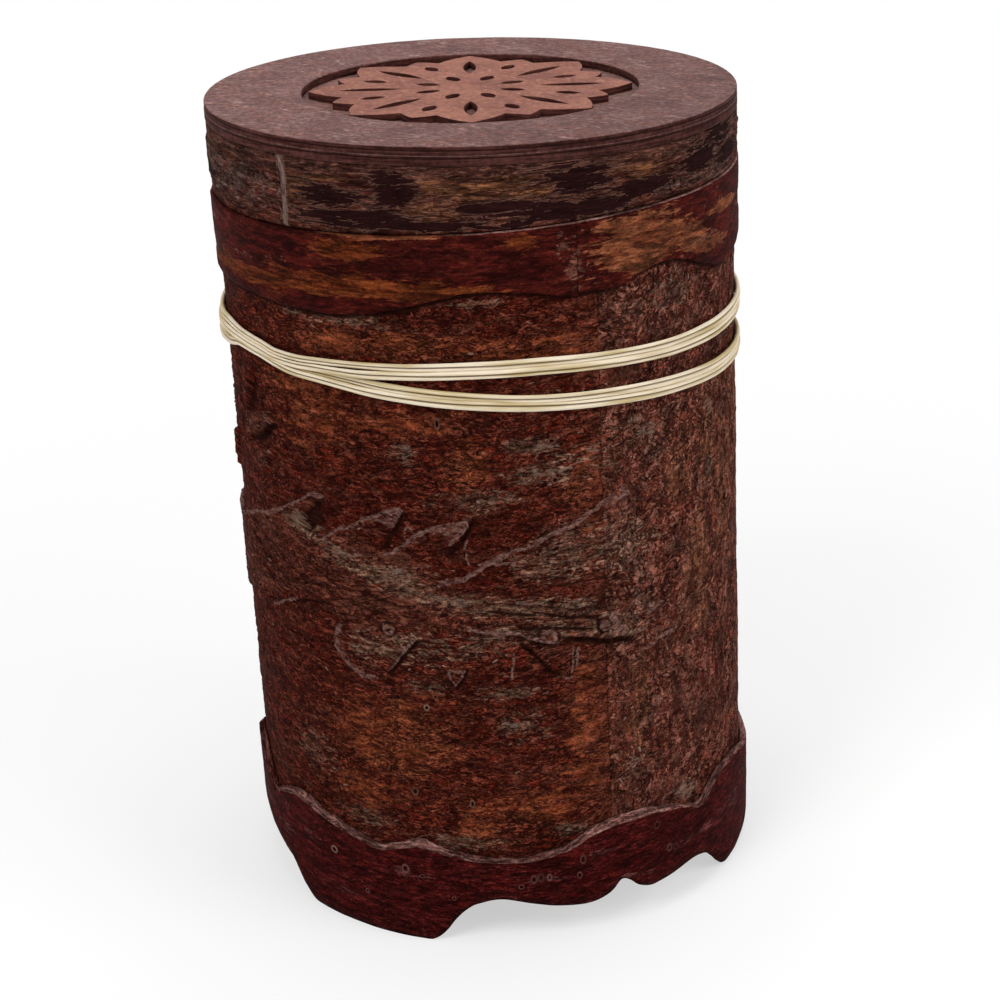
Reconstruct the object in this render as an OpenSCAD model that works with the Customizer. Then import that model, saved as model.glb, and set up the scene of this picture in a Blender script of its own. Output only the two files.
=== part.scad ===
// Round bark box with a lift-off lid and a raffia tie.
// Millimetres, +Z up, origin on the ground at the centre of the box.
// Angles are read round the box from the front (-Y), positive towards +X.

/* [Box] */
// Outside diameter of the rough bark wall
box_d = 88.6; // [70:0.2:120]
// Height of the lid's top above the ground, at the centre
box_h = 141; // [110:0.5:200]
// Thickness of the rough bark sheets
bark_t = 3; // [2:0.1:5]
// Thickness of the inner liner
liner_t = 1.6; // [1:0.1:3]
// Thickness of the base disc
base_t = 3; // [2:0.1:6]
// Height of the base's underside above the ground
base_lift = 9.5; // [9:0.1:20]
// How far the liner stands up inside the lid
spigot_h = 8; // [4:0.1:9]
// Angle of the seam on the right of the front bark sheet
seam_right = 24.5; // [10:0.5:60]
// Angle of the seam on the left of the front bark sheet
seam_left = -167; // [-170:0.5:-90]

/* [Lid] */
// Depth of the parting line below the lid's top, at the centre
lid_depth = 13.5; // [12:0.1:30]
// How far the lid stands proud of the bark wall
lid_proud = 0.7; // [0.2:0.05:2]
// Thickness of the top ring
top_ply = 1.4; // [1:0.05:1.6]
// Thickness of the disc under the top ring
under_ply = 1.6; // [1:0.05:1.7]
// Slant of the lid's top, positive where it falls towards +X, in degrees
top_slant = 1.07; // [0:0.01:1.3]
// Slant of the parting line, positive where it climbs towards +X, in degrees
parting_slant = 1.27; // [0:0.01:1.5]
// Angle of the lid rim's butt seam
lid_seam = -43; // [-80:0.5:80]
// Diameter of the round recess in the lid's top
recess_d = 57; // [40:0.5:64]

/* [Rosette] */
// Diameter over the tips of the rosette
rosette_d = 55; // [36:0.5:56]
// Thickness of the rosette
rosette_t = 1.25; // [0.8:0.05:2]
// Number of long petals
petals = 8; // [6:1:10]
// Width of a long petal
petal_w = 15; // [8:0.1:16]
// Width of the slit along each long petal
slit_w = 2.2; // [1:0.1:3]

/* [Bands] */
// Thickness of the collar band round the mouth
collar_t = 0.75; // [0.5:0.05:2]
// Thickness of the scalloped skirt band round the foot
skirt_t = 1.25; // [0.8:0.05:3]
// Height of the skirt's tallest arch above the ground
arch_h = 9.2; // [4:0.1:12]

/* [Raffia] */
// Width of the raffia strand
strand_w = 1.15; // [0.8:0.05:1.18]
// Thickness of the raffia strand
strand_t = 1; // [0.7:0.05:1.1]
// Distance between the two strands of a pair
lane_pitch = 1.62; // [1.6:0.02:1.68]
// Angle of the knot at the back
knot_angle = 140; // [100:1:170]
// Diameter of the knot
knot_d = 4; // [3.4:0.1:5]
// Length of each free end
tail_len = 12; // [6:0.5:20]

/* [Fits] */
// Glue line between layers
glue_gap = 0.1; // [0.05:0.01:0.2]
// Gap at the butt seams
seam_gap = 0.2; // [0.1:0.05:0.5]
// Radial clearance of the lid over the liner
lid_clear = 0.35; // [0.3:0.05:0.6]
// Gap between the lid's lower edge and the box
seat_gap = 0.15; // [0.1:0.05:0.4]
// Gap between the raffia and the bark
tie_gap = 0.36; // [0.3:0.02:0.6]
// Gap between the raffia's end and the strands that it climbs over
climb_gap = 0.55; // [0.5:0.05:1]

/* [Hidden] */
$fn = 96;

// Radii from the bark wall inwards and outwards
wall_r = box_d / 2;
wall_in = wall_r - bark_t;
liner_r = wall_in - glue_gap;
liner_in = liner_r - liner_t;
lid_r = wall_r + lid_proud;
lid_in = liner_r + lid_clear;

// Heights at the centre of the box
parting_h = box_h - lid_depth;
floor_h = base_lift + base_t;
spigot_top = parting_h + spigot_h;
lid_wall_top = box_h - top_ply - under_ply - glue_gap;

// Straight edges round each wavy band
band_steps = 180;
apothem = cos(180 / band_steps);
far = 4 * box_h;

// Collar's lower edge: [angle, depth below the parting line]
collar_keys = [
    [-170, 11.8], [-140, 9.6], [-118, 11.2], [-95, 12.8], [-65, 12.4], [-34, 13.2], [-20, 12.4],
    [-10, 10.6], [0, 9.4], [9, 10.2], [19, 11.6], [28, 11.6], [34, 10.4], [41, 9.6], [48, 10.6],
    [55, 12.8], [64, 14.6], [80, 13.6], [96, 11.2], [112, 10.4], [130, 12.6], [150, 13.4]
];

// Skirt's upper edge: [angle, height above the base's underside]
skirt_top_keys = [
    [-170, 9.6], [-155, 7], [-146, 8.8], [-134, 10.8], [-120, 9.2], [-106, 7], [-92, 11.4],
    [-83, 14.6], [-77.5, 13], [-72, 9.4], [-68.3, 7.2], [-63, 9], [-58, 10.4], [-53, 11.2],
    [-48, 10.4], [-44, 9.8], [-38, 8.8], [-34, 8], [-29, 7.4],
    [-24, 8.4], [-20, 9.2], [-14, 8.4], [-7, 7.2], [2, 6.8], [9, 7.2], [15, 8.6], [20, 10.4],
    [26, 11], [31, 11], [37, 10.4], [42, 9.4], [45.5, 8.4], [49, 7.2], [53.5, 9.2], [57.5, 10.9],
    [63, 11.2], [69, 10.5], [77, 8.7], [84, 7.4], [94, 6.8], [106, 7.8], [118, 10.2], [128, 11],
    [140, 9], [151, 7.2], [163, 8.4], [176, 10.6]
];

// Skirt's lower edge: [angle, share of the tallest arch], 0 on the feet
skirt_foot_keys = [
    [-154, 0], [-150, 0.18], [-147, 0.54], [-142, 0.84], [-136, 0.96], [-127, 0.8], [-117, 0.68],
    [-107, 0.76], [-102, 0.98], [-97, 0.76], [-88, 0.94], [-80, 0.98], [-70, 0.8], [-60, 0.6],
    [-55, 0.22], [-50, 0], [-18, 0], [-15, 0.16], [-12, 0.5], [-8, 0.82], [-2, 0.96], [4, 0.86],
    [11, 0.72], [18, 0.66], [23, 0.76], [26.5, 1], [30, 0.76], [34, 0.62], [40, 0.66], [47, 0.73],
    [51, 0.67], [55, 0.4], [59, 0.08], [62, 0], [88, 0], [91, 0.16], [94, 0.54], [98, 0.84],
    [104, 0.96], [112, 0.82], [122, 0.67], [130, 0.74], [134, 0.98], [138, 0.74], [144, 0.63],
    [152, 0.68], [157, 0.38], [161, 0.06], [163, 0]
];

// Middle of the upper and lower pair of strands: [angle, depth below the parting line]
upper_keys = [
    [-120, 21.2], [-95, 21.3], [-75, 21.2], [-60, 21.4], [-42, 22], [-20, 22.2], [0, 22],
    [15, 22.1], [30, 22.9], [45, 23.6], [65, 23.9], [110, 23.4], [180, 21.6]
];
lower_keys = [
    [-130, 26], [-95, 25], [-75, 24.8], [-60, 24.8], [-42, 25.4], [-20, 25.8], [0, 27.3],
    [15, 28.4], [30, 29.3], [45, 30.2], [65, 31.2], [110, 31.8], [180, 28.6]
];

// Raffia winding
turns = 4;
rings_per_turn = 24;
strand_sides = 6;
shift_span = 50;
tail_leans = [-62, -18];
lift_span = 20;
climb_span = 29;
climb_steps = 9;
ring_step = 360 / rings_per_turn;
tie_r = (wall_r + tie_gap + strand_t / 2) / cos(ring_step / 2);
climb_r = tie_r + strand_t + climb_gap;
highest_strand = lane_height(0.5, knot_angle);
knot_foot = highest_strand + strand_w / 2 + 2 * climb_gap + strand_w;
knot_half = 0.4 * knot_d;
knot_h = knot_foot + knot_half;
knot_r = wall_r + tie_gap + knot_d / 2;

function place(r, a, h) = [r * sin(a), -r * cos(a), h];
function unit(v) = v / norm(v);
function ease(t) = let (u = min(1, max(0, t))) u * u * (3 - 2 * u);
function mix(p, q, t) = p + (q - p) * t;

// Smooth closed curve through hand-chosen keys, level at each crest and trough
function key_at(keys, i) =
    let (n = len(keys), turn = floor(i / n), k = keys[i - n * turn])
    [k[0] + 360 * turn, k[1]];
function rise(keys, i) =
    let (p = key_at(keys, i), q = key_at(keys, i + 1))
    (q[1] - p[1]) / (q[0] - p[0]);
function key_slope(keys, i) =
    let (s = rise(keys, i - 1), t = rise(keys, i))
    s * t <= 0 ? 0 : 2 * s * t / (s + t);
function along(keys, a) =
    let (
        b = a - 360 * floor((a - keys[0][0]) / 360),
        i = max([for (k = [0 : len(keys) - 1]) if (keys[k][0] <= b) k]),
        p = key_at(keys, i),
        q = key_at(keys, i + 1),
        w = q[0] - p[0],
        t = (b - p[0]) / w,
        lead = key_slope(keys, i) * w,
        tail = key_slope(keys, i + 1) * w
    )
    mix(p[1], q[1], ease(t)) + t * (1 - t) * ((1 - t) * lead - t * tail);

// Height of the slanted parting line at a point
function parting_at(x) = parting_h + x * tan(parting_slant);

// Half space above a plane that leans about Y, slant positive where it climbs towards +X
module above(h, slant) {
    translate([0, 0, h]) rotate([0, -slant, 0]) translate([-far / 2, -far / 2, 0]) cube(far);
}

module below(h, slant) {
    translate([0, 0, h]) rotate([0, -slant, 0]) translate([-far / 2, -far / 2, -far]) cube(far);
}

// Upright bent sheet from angle a0 to a1
module bent_sheet(r_in, r_out, low, high, a0, a1) {
    rotate([0, 0, a0 - 90])
        rotate_extrude(angle = a1 - a0)
            translate([r_in, low]) square([r_out - r_in, high - low]);
}

// Angle that a gap takes up on the bark wall
function gap_angle(gap) = gap / wall_r * 180 / PI;

// Bent strip with wavy edges, low and high are functions of the angle
module wavy_band(r_in, r_out, low, high) {
    n = band_steps;
    points = [
        for (i = [0 : n - 1])
            let (a = 360 * i / n)
            each [
                place(r_out, a, low(a)), place(r_out, a, high(a)),
                place(r_in, a, high(a)), place(r_in, a, low(a))
            ]
    ];
    faces = [
        for (i = [0 : n - 1], s = [0 : 3])
            let (p = 4 * i, q = 4 * ((i + 1) % n), t = (s + 1) % 4)
            each [[p + s, p + t, q + t], [p + s, q + t, q + s]]
    ];
    polyhedron(points, faces);
}

// Lanes from the top: two strands in the upper pair and two in the lower pair
function lane_height(lane, a) =
    let (
        top = parting_h - along(upper_keys, a) + lane_pitch / 2,
        low = parting_h - along(lower_keys, a) + lane_pitch / 2
    )
    lane <= 1 ? top - lane * lane_pitch
    : lane >= 2 ? low - (lane - 2) * lane_pitch
    : mix(top - lane_pitch, low, lane - 1);

// Place of the strand at b degrees of winding from the knot
function wound_lane(b) =
    let (
        turn = floor(b / 360),
        c = b - 360 * turn,
        joined = turn == 0 ? 0 : (1 - ease(c / shift_span)) / 2,
        leaving = turn == turns - 1 ? 0 : ease((c - 360 + shift_span) / shift_span) / 2
    )
    turn - joined + leaving;
function wound_point(b) =
    let (
        a = knot_angle + b,
        h = lane_height(wound_lane(b), a),
        start = 1 - ease(b / shift_span),
        lift = ease((b - turns * 360 + climb_span + lift_span) / lift_span)
    )
    place(mix(mix(tie_r, knot_r, start), climb_r, lift), a, mix(h, knot_h, start));

// First end leaves the knot's side square, last end climbs to the knot's foot square
knot_side = [cos(knot_angle), sin(knot_angle), 0];
knot_at = place(knot_r, knot_angle, knot_h);
lead_points = [for (d = [0, strand_w]) knot_at + knot_side * (knot_half + d)];
wound_points = [
    for (b = [ring_step / 2 : ring_step : turns * 360 - climb_span]) wound_point(b)
];
climb_from = lane_height(turns - 1, knot_angle - climb_span);
climb_points = [
    for (i = [1 : climb_steps])
        let (t = 90 * i / climb_steps, b = -climb_span * (1 - sin(t)))
        place(climb_r, knot_angle + b, mix(climb_from, knot_foot - strand_w, 1 - cos(t)))
];
last_point = [place(climb_r, knot_angle, knot_foot)];
strand_path = concat(lead_points, wound_points, climb_points, last_point);

// Rings of the strand, each turned to face out from the box
function strand_way(i) =
    let (n = len(strand_path) - 1)
    i == 0 ? knot_side
    : i == n ? [0, 0, 1]
    : unit(strand_path[i + 1] - strand_path[i - 1]);
function strand_ring(i) =
    let (
        c = strand_path[i],
        way = strand_way(i),
        out = unit([c[0], c[1], 0]),
        face = unit(out - way * (out * way)),
        side = cross(way, face)
    )
    [
        for (k = [0 : strand_sides - 1])
            let (t = 360 * k / strand_sides)
            c + face * sin(t) * strand_t / 2 - side * cos(t) * strand_w / 2
    ];
strand_rings = [for (i = [0 : len(strand_path) - 1]) strand_ring(i)];

// Least gap between strands that are not neighbours along the path
near_strands = 3 * strand_w;
next_ring = 6;
strand_gaps = [
    for (i = [0 : len(strand_path) - 1], j = [i + next_ring : 1 : len(strand_path) - 1])
        if (norm(strand_path[i] - strand_path[j]) < near_strands)
            min([for (p = strand_rings[i], q = strand_rings[j]) norm(p - q)])
];

module base_disc() {
    color([0.42, 0.25, 0.17])
        translate([0, 0, base_lift]) cylinder(h = base_t, r = liner_r);
}

module inner_liner() {
    color([0.5, 0.3, 0.2])
        bent_sheet(liner_in, liner_r, floor_h, spigot_top, 0, 360);
}

// Rough bark sheet between two seams, cut to the parting line
module bark_sheet(a0, a1) {
    trim = gap_angle(seam_gap) / 2;
    difference() {
        bent_sheet(wall_in, wall_r, base_lift, spigot_top, a0 + trim, a1 - trim);
        above(parting_h, parting_slant);
    }
}

module front_wall() {
    color([0.36, 0.16, 0.1]) bark_sheet(seam_left, seam_right);
}

module back_wall() {
    color([0.33, 0.16, 0.11]) bark_sheet(seam_right, seam_left + 360);
}

module collar_band() {
    r_out = wall_r + glue_gap + collar_t;
    color([0.4, 0.18, 0.1])
        wavy_band(
            (wall_r + glue_gap) / apothem, r_out,
            function(a) parting_at(r_out * sin(a)) - along(collar_keys, a),
            function(a) parting_at(r_out * sin(a))
        );
}

module skirt_band() {
    color([0.3, 0.12, 0.1])
        wavy_band(
            (wall_r + glue_gap) / apothem, wall_r + glue_gap + skirt_t,
            function(a) arch_h * along(skirt_foot_keys, a),
            function(a) base_lift + along(skirt_top_keys, a)
        );
}

module raffia_tie() {
    echo(least_strand_gap = min(strand_gaps));
    n = len(strand_rings);
    m = strand_sides;
    sides = [
        for (i = [0 : n - 2], k = [0 : m - 1])
            let (p = i * m, q = p + m, t = (k + 1) % m)
            each [[p + k, q + k, q + t], [p + k, q + t, p + t]]
    ];
    caps = [
        for (k = [1 : m - 2])
            each [[0, k, k + 1], [(n - 1) * m, (n - 1) * m + k + 1, (n - 1) * m + k]]
    ];
    color([0.9, 0.85, 0.7])
        polyhedron([for (r = strand_rings) each r], concat(sides, caps));
}

// Knot drawn tight, with its two free ends
module raffia_knot() {
    color([0.88, 0.82, 0.66])
        translate(knot_at) rotate([0, 0, knot_angle]) {
            difference() {
                sphere(d = knot_d);
                translate([knot_half, -far / 2, -far / 2]) cube(far);
                translate([-far / 2, -far / 2, -far - knot_half]) cube(far);
            }
            for (lean = tail_leans)
                rotate([0, lean, 0]) cylinder(h = knot_d / 2 + tail_len, d = strand_t);
        }
}

module lid_rim() {
    trim = gap_angle(seam_gap) / 2;
    color([0.3, 0.17, 0.14])
        difference() {
            bent_sheet(
                lid_in, lid_r, parting_h - lid_depth, box_h,
                lid_seam + trim, lid_seam + 360 - trim
            );
            above(lid_wall_top, -top_slant);
            below(parting_h + seat_gap, parting_slant);
        }
}

// Flat piece of the lid's top, h below the top face
module top_layer(h) {
    translate([0, 0, box_h]) rotate([0, top_slant, 0]) translate([0, 0, -h]) children();
}

module lid_under_disc() {
    color([0.42, 0.3, 0.26])
        top_layer(top_ply + under_ply) cylinder(h = under_ply, r = lid_r);
}

module lid_top_ring() {
    color([0.4, 0.28, 0.25])
        top_layer(top_ply)
            difference() {
                cylinder(h = top_ply, r = lid_r);
                translate([0, 0, -top_ply]) cylinder(h = 3 * top_ply, d = recess_d);
            }
}

// Pointed leaf along +Y, made by two crossing circles
module leaf(low, high, w) {
    half = (high - low) / 2;
    r = (half * half + w * w / 4) / w;
    translate([0, low + half])
        intersection() {
            translate([r - w / 2, 0]) circle(r = r);
            translate([w / 2 - r, 0]) circle(r = r);
        }
}

module lid_rosette() {
    tip = rosette_d / 2;
    turn = 360 / petals;
    color([0.6, 0.4, 0.3])
        top_layer(top_ply)
            linear_extrude(rosette_t)
                difference() {
                    union() {
                        circle(r = tip * 0.45);
                        for (i = [0 : petals - 1]) {
                            rotate(i * turn) leaf(0, tip, petal_w);
                            rotate((i + 0.5) * turn) leaf(tip * 0.2, tip * 0.9, petal_w * 0.72);
                        }
                    }
                    for (i = [0 : petals - 1]) {
                        rotate(i * turn) leaf(tip * 0.42, tip * 0.82, slit_w);
                        rotate((i + 0.5) * turn) leaf(tip * 0.56, tip * 0.72, slit_w);
                        rotate((i + 0.5) * turn) leaf(tip * 0.2, tip * 0.36, slit_w);
                    }
                }
}

base_disc();
inner_liner();
front_wall();
back_wall();
collar_band();
skirt_band();
raffia_tie();
raffia_knot();
lid_rim();
lid_under_disc();
lid_top_ring();
lid_rosette();
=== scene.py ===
"""Dresses the round bark box: rough walls with a carved relief, bark bands, raffia tie and lift-off lid."""

import logging
import math
from dataclasses import dataclass, field
from enum import Enum
from typing import Iterable, Sequence

import bmesh
import bpy
import numpy as np
from mathutils import Matrix, Vector


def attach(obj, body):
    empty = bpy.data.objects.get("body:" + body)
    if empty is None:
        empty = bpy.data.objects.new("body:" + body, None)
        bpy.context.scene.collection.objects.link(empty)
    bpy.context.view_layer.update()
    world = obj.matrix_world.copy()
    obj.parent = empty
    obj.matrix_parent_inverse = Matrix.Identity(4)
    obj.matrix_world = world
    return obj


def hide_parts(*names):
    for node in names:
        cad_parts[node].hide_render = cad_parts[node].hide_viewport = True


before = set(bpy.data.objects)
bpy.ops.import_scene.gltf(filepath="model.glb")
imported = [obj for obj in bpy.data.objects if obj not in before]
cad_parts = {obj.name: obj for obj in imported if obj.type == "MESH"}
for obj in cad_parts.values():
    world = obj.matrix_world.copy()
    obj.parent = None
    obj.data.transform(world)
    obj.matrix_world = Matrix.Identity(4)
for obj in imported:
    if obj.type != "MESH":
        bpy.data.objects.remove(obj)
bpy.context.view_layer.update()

log = logging.getLogger("bark_box")

MM = 0.001
FULL_TURN = 360.0

WHITE = (1.0, 1.0, 1.0)
UP = (0.0, 0.0, 1.0)

Array = np.ndarray
Thing = bpy.types.Object
Material = bpy.types.Material
Node = bpy.types.Node
Socket = bpy.types.NodeSocket
Triple = tuple[float, float, float]
RGB = Triple
Point = tuple[float, float]
Keys = tuple[Point, ...]
Fields = dict[str, Array]
Feed = Socket | float | Triple


class Body(Enum):
    """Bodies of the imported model."""

    BOX = "box"
    LID = "lid"


class Slot(Enum):
    """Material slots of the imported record."""

    INNER = "inner_bark"
    ROUGH = "rough_bark"
    COLLAR = "collar_bark"
    SKIRT = "skirt_bark"
    LID = "lid_bark"
    PLY = "lid_ply"
    ROSETTE = "rosette_bark"
    RAFFIA = "raffia"


class Grain(Enum):
    """Way that the grain of a bark sheet runs."""

    ROUND = "round"
    UPRIGHT = "upright"


class Source(Enum):
    """Coordinates that a finish is laid out on."""

    SHEET = "sheet"
    SOLID = "solid"


class Edge(Enum):
    """Edge of a band that is read off its solid."""

    LOW = "low"
    HIGH = "high"


# Shared measures

def ease(low: float, high: float, value: Array) -> Array:
    """Smooth step from 0 at low to 1 at high."""
    t = np.clip((value - low) / (high - low), 0.0, 1.0)
    return t * t * (3.0 - 2.0 * t)


def turn_between(angle: Array, centre: float) -> Array:
    """Signed angle from centre to angle, within half a turn."""
    return (angle - centre + FULL_TURN / 2) % FULL_TURN - FULL_TURN / 2


def arc_between(angle: Array, centre: float, radius: float | Array) -> Array:
    """Signed distance from centre to angle along a circle."""
    return turn_between(angle, centre) * math.radians(1) * radius


def bell(distance: Array, width: float | Array) -> Array:
    """Bump that is 1 at no distance and fades out over a width."""
    return np.exp(-((distance / width) ** 2))


def through(keys: Keys, angle: Array) -> Array:
    """Smooth closed curve through given keys.

    Args:
        keys: Pairs of angle and value, in rising order of angle.
        angle: Angles in degrees.

    Returns:
        The value of the curve at each angle.
    """
    table = np.array(keys)
    spots = np.concatenate([table[-2:, 0] - FULL_TURN, table[:, 0], table[:2, 0] + FULL_TURN])
    values = np.concatenate([table[-2:, 1], table[:, 1], table[:2, 1]])
    rise = np.diff(values) / np.diff(spots)
    before, after = rise[:-1], rise[1:]
    product = before * after
    inner = np.where(product > 0, 2 * product / np.where(product > 0, before + after, 1.0), 0.0)
    slope = np.concatenate([[0.0], inner, [0.0]])
    wrapped = (np.asarray(angle) - table[0, 0]) % FULL_TURN + table[0, 0]
    i = np.clip(np.searchsorted(spots, wrapped, side="right") - 1, 0, len(spots) - 2)
    width = spots[i + 1] - spots[i]
    t = (wrapped - spots[i]) / width
    bend = (1 - t) * slope[i] * width - t * slope[i + 1] * width
    return values[i] + (values[i + 1] - values[i]) * t * t * (3 - 2 * t) + t * (1 - t) * bend


def steps(start: float, end: float, step: float) -> Array:
    """Even steps from start to end, as near to the wanted step as they fit."""
    return np.linspace(start, end, max(2, int(round((end - start) / step)) + 1))


def paced(marks: Sequence[float], paces: Iterable[float]) -> Array:
    """Steps through marks, each stretch at its own pace."""
    made = [steps(a, b, pace)[:-1] for a, b, pace in zip(marks, marks[1:], paces)]
    return np.concatenate([*made, marks[-1:]])


def round_steps(seam: float, gap: float, radius: float, step: float) -> Array:
    """Even angles once round from a seam that stays open by a gap."""
    trim = math.degrees(gap / 2 / radius)
    return steps(seam + trim, seam + FULL_TURN - trim, step)


def band_grid(angle: Array, low: Array, high: Array, step: float) -> tuple[Array, Array]:
    """Lays a grid over the face of a band.

    Args:
        angle: Angles of its columns.
        low: Height of its lower edge at each angle.
        high: Height of its upper edge at each angle.
        step: Wanted height of its rows.

    Returns:
        Angle and height of each point.
    """
    share = steps(0.0, 1.0, step / float(np.mean(high - low)))
    a = np.broadcast_to(angle[:, None], (len(angle), len(share)))
    return a, low[:, None] + share[None, :] * (high - low)[:, None]


class Weather:
    """Seeded smooth noise for the unrolled bark."""

    size = 256

    def __init__(self, seed: int) -> None:
        """Draws the noise's lattice from a fixed seed."""
        self.lattice = np.random.default_rng(seed).uniform(-1.0, 1.0, (self.size, self.size))

    def at(self, u: Array, v: Array) -> Array:
        """One layer of noise from -1 to 1 at lattice coordinates."""
        iu, iv = np.floor(u).astype(int), np.floor(v).astype(int)
        fu, fv = u - iu, v - iv
        su = fu * fu * fu * (fu * (fu * 6 - 15) + 10)
        sv = fv * fv * fv * (fv * (fv * 6 - 15) + 10)
        iu, iv = iu % self.size, iv % self.size
        ju, jv = (iu + 1) % self.size, (iv + 1) % self.size
        low = self.lattice[iu, iv] * (1 - su) + self.lattice[ju, iv] * su
        high = self.lattice[iu, jv] * (1 - su) + self.lattice[ju, jv] * su
        return low * (1 - sv) + high * sv

    def rough(self, u: Array, v: Array, octaves: int, gain: float = 0.55) -> Array:
        """Several layers of noise, each twice as fine as the last.

        Args:
            u: First lattice coordinate.
            v: Second lattice coordinate.
            octaves: Number of layers.
            gain: Share of the last layer's strength that each next one has.

        Returns:
            The summed noise, about from -1 to 1.
        """
        total = np.zeros(np.broadcast(u, v).shape)
        strength, whole = 1.0, 0.0
        for k in range(octaves):
            total += strength * self.at(u * 2**k + 17.3 * k, v * 2**k + 5.7 * k)
            whole += strength
            strength *= gain
        return total / whole


class Gauge:
    """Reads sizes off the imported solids, in millimetres."""

    band_step = 2.0
    rim_depth = 0.2

    @staticmethod
    def corners(mesh: bpy.types.Mesh) -> Array:
        """Corners of a mesh."""
        flat = np.zeros(len(mesh.vertices) * 3, np.float32)
        mesh.vertices.foreach_get("co", flat)
        return flat.reshape(-1, 3).astype(float) / MM

    @classmethod
    def points(cls, node: str) -> Array:
        """Corners of a solid's mesh."""
        return cls.corners(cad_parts[node].data)

    @classmethod
    def radii(cls, node: str) -> tuple[float, float]:
        """Least and greatest distance of a solid's corners from the axis."""
        co = cls.points(node)
        reach = np.hypot(co[:, 0], co[:, 1])
        return float(reach.min()), float(reach.max())

    @classmethod
    def heights(cls, node: str) -> tuple[float, float]:
        """Lowest and highest point of a solid."""
        level = cls.points(node)[:, 2]
        return float(level.min()), float(level.max())

    @classmethod
    def edge(cls, node: str, which: Edge, angle: Array) -> Array:
        """Height of a wavy band's edge.

        Args:
            node: Name of the band's solid.
            which: The lower or the upper edge.
            angle: Angles in degrees.

        Returns:
            The edge's height at each angle, smoothed between the solid's corners.
        """
        co = cls.points(node)
        reach = np.hypot(co[:, 0], co[:, 1])
        rim = co[reach > reach.max() - cls.rim_depth]
        count = int(FULL_TURN / cls.band_step)
        spot = np.round(np.degrees(np.arctan2(rim[:, 0], -rim[:, 1])) / cls.band_step).astype(int) % count
        pick = np.min if which is Edge.LOW else np.max
        at = np.array([pick(rim[spot == k, 2]) for k in range(count)])
        place = (np.asarray(angle) % FULL_TURN) / cls.band_step
        i = np.floor(place).astype(int)
        t = place - i
        a, b, c, d = (at[(i + k) % count] for k in (-1, 0, 1, 2))
        return b + 0.5 * t * (c - a + t * (2 * a - 5 * b + 4 * c - d + t * (3 * (b - c) + d - a)))


class Slants:
    """The two slanted planes of the box: the lid's top and the parting line."""

    top_slant = math.radians(1.07)
    parting_slant = math.radians(1.27)

    def __init__(self) -> None:
        """Reads the height of each plane on the axis off the solids."""
        self.parting_h = float(np.mean(Gauge.edge("collar_band", Edge.HIGH, np.array([-90.0, 90.0]))))
        reach = Gauge.radii("lid_top_ring")[1]
        self.top_h = Gauge.heights("lid_top_ring")[1] - reach * math.sin(self.top_slant)

    def parting_at(self, x: Array) -> Array:
        """Height of the parting line over x."""
        return self.parting_h + x * math.tan(self.parting_slant)

    def top_at(self, x: Array) -> Array:
        """Height of the lid's top over x."""
        return self.top_h - x * math.tan(self.top_slant)


SLANTS = Slants()


# Meshes

@dataclass
class Skin:
    """Grid of points round the axis, closed over its profile.

    The profile runs up the outside, in over the top and down the inside.
    """

    angle: Array
    radius: Array
    height: Array
    seam: bool = True
    fields: Fields = field(default_factory=dict)
    laid: Array | None = None

    @classmethod
    def backed(cls, angle: Array, radius: Array, height: Array, inner: float, fields: Fields) -> "Skin":
        """Closes the face of a sheet with a plain inside.

        Args:
            angle: Angles of the columns.
            radius: Radius of each point of the face.
            height: Height of each point of the face.
            inner: Radius of the inside.
            fields: Named values of the face, 0 on the inside.

        Returns:
            The closed skin.
        """
        inside = np.full((len(angle), 2), inner)
        blank = np.zeros(inside.shape)
        return cls(
            angle,
            np.concatenate([radius, inside], 1),
            np.concatenate([height, height[:, [-1, 0]]], 1),
            fields={key: np.concatenate([value, blank], 1) for key, value in fields.items()},
        )

    def corners(self) -> Array:
        """Corners of the grid in metres."""
        a = np.radians(self.angle)[:, None]
        x, y = self.radius * np.sin(a), -self.radius * np.cos(a)
        return np.stack([x, y, self.height], -1).reshape(-1, 3) * MM

    def faces(self) -> list[list[int]]:
        """Faces of the grid, with its two ends where it has a seam."""
        n, m = self.radius.shape
        columns = np.arange(n - 1 if self.seam else n)[:, None]
        rows = np.arange(m)[None, :]
        nexts, ups = (columns + 1) % n, (rows + 1) % m
        quads = np.stack([columns * m + rows, nexts * m + rows, nexts * m + ups, columns * m + ups], -1)
        made = quads.reshape(-1, 4).tolist()
        if self.seam:
            made += [list(range(m)), list(range(n * m - 1, (n - 1) * m - 1, -1))]
        return made

    def unrolled(self) -> Array:
        """Place of each corner on the flat sheet, in metres."""
        reach = self.radius.max()
        u = np.broadcast_to(np.radians(self.angle)[:, None] * reach, self.radius.shape)
        v = (self.height if self.laid is None else self.laid) + reach - self.radius
        return np.stack([u, v], -1).reshape(-1, 2) * MM

    def piece(self, name: str) -> Thing:
        """Makes the object with its sheet coordinates and fields."""
        return solid(name, self.corners(), self.faces(), self.unrolled(), self.fields)


def added(name: str, data: bpy.types.ID) -> Thing:
    """Makes an object and puts it into the scene."""
    made = bpy.data.objects.new(name, data)
    bpy.context.scene.collection.objects.link(made)
    return made


def settled(source: Thing, name: str) -> Thing:
    """Makes a plain piece of what an object's modifiers show.

    Args:
        source: The object, removed afterwards.
        name: Name of the piece.

    Returns:
        The piece.
    """
    mesh = bpy.data.meshes.new_from_object(source.evaluated_get(bpy.context.evaluated_depsgraph_get()))
    source.modifiers.clear()
    bpy.data.objects.remove(source)
    mesh.name = name
    return added(name, mesh)


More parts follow.
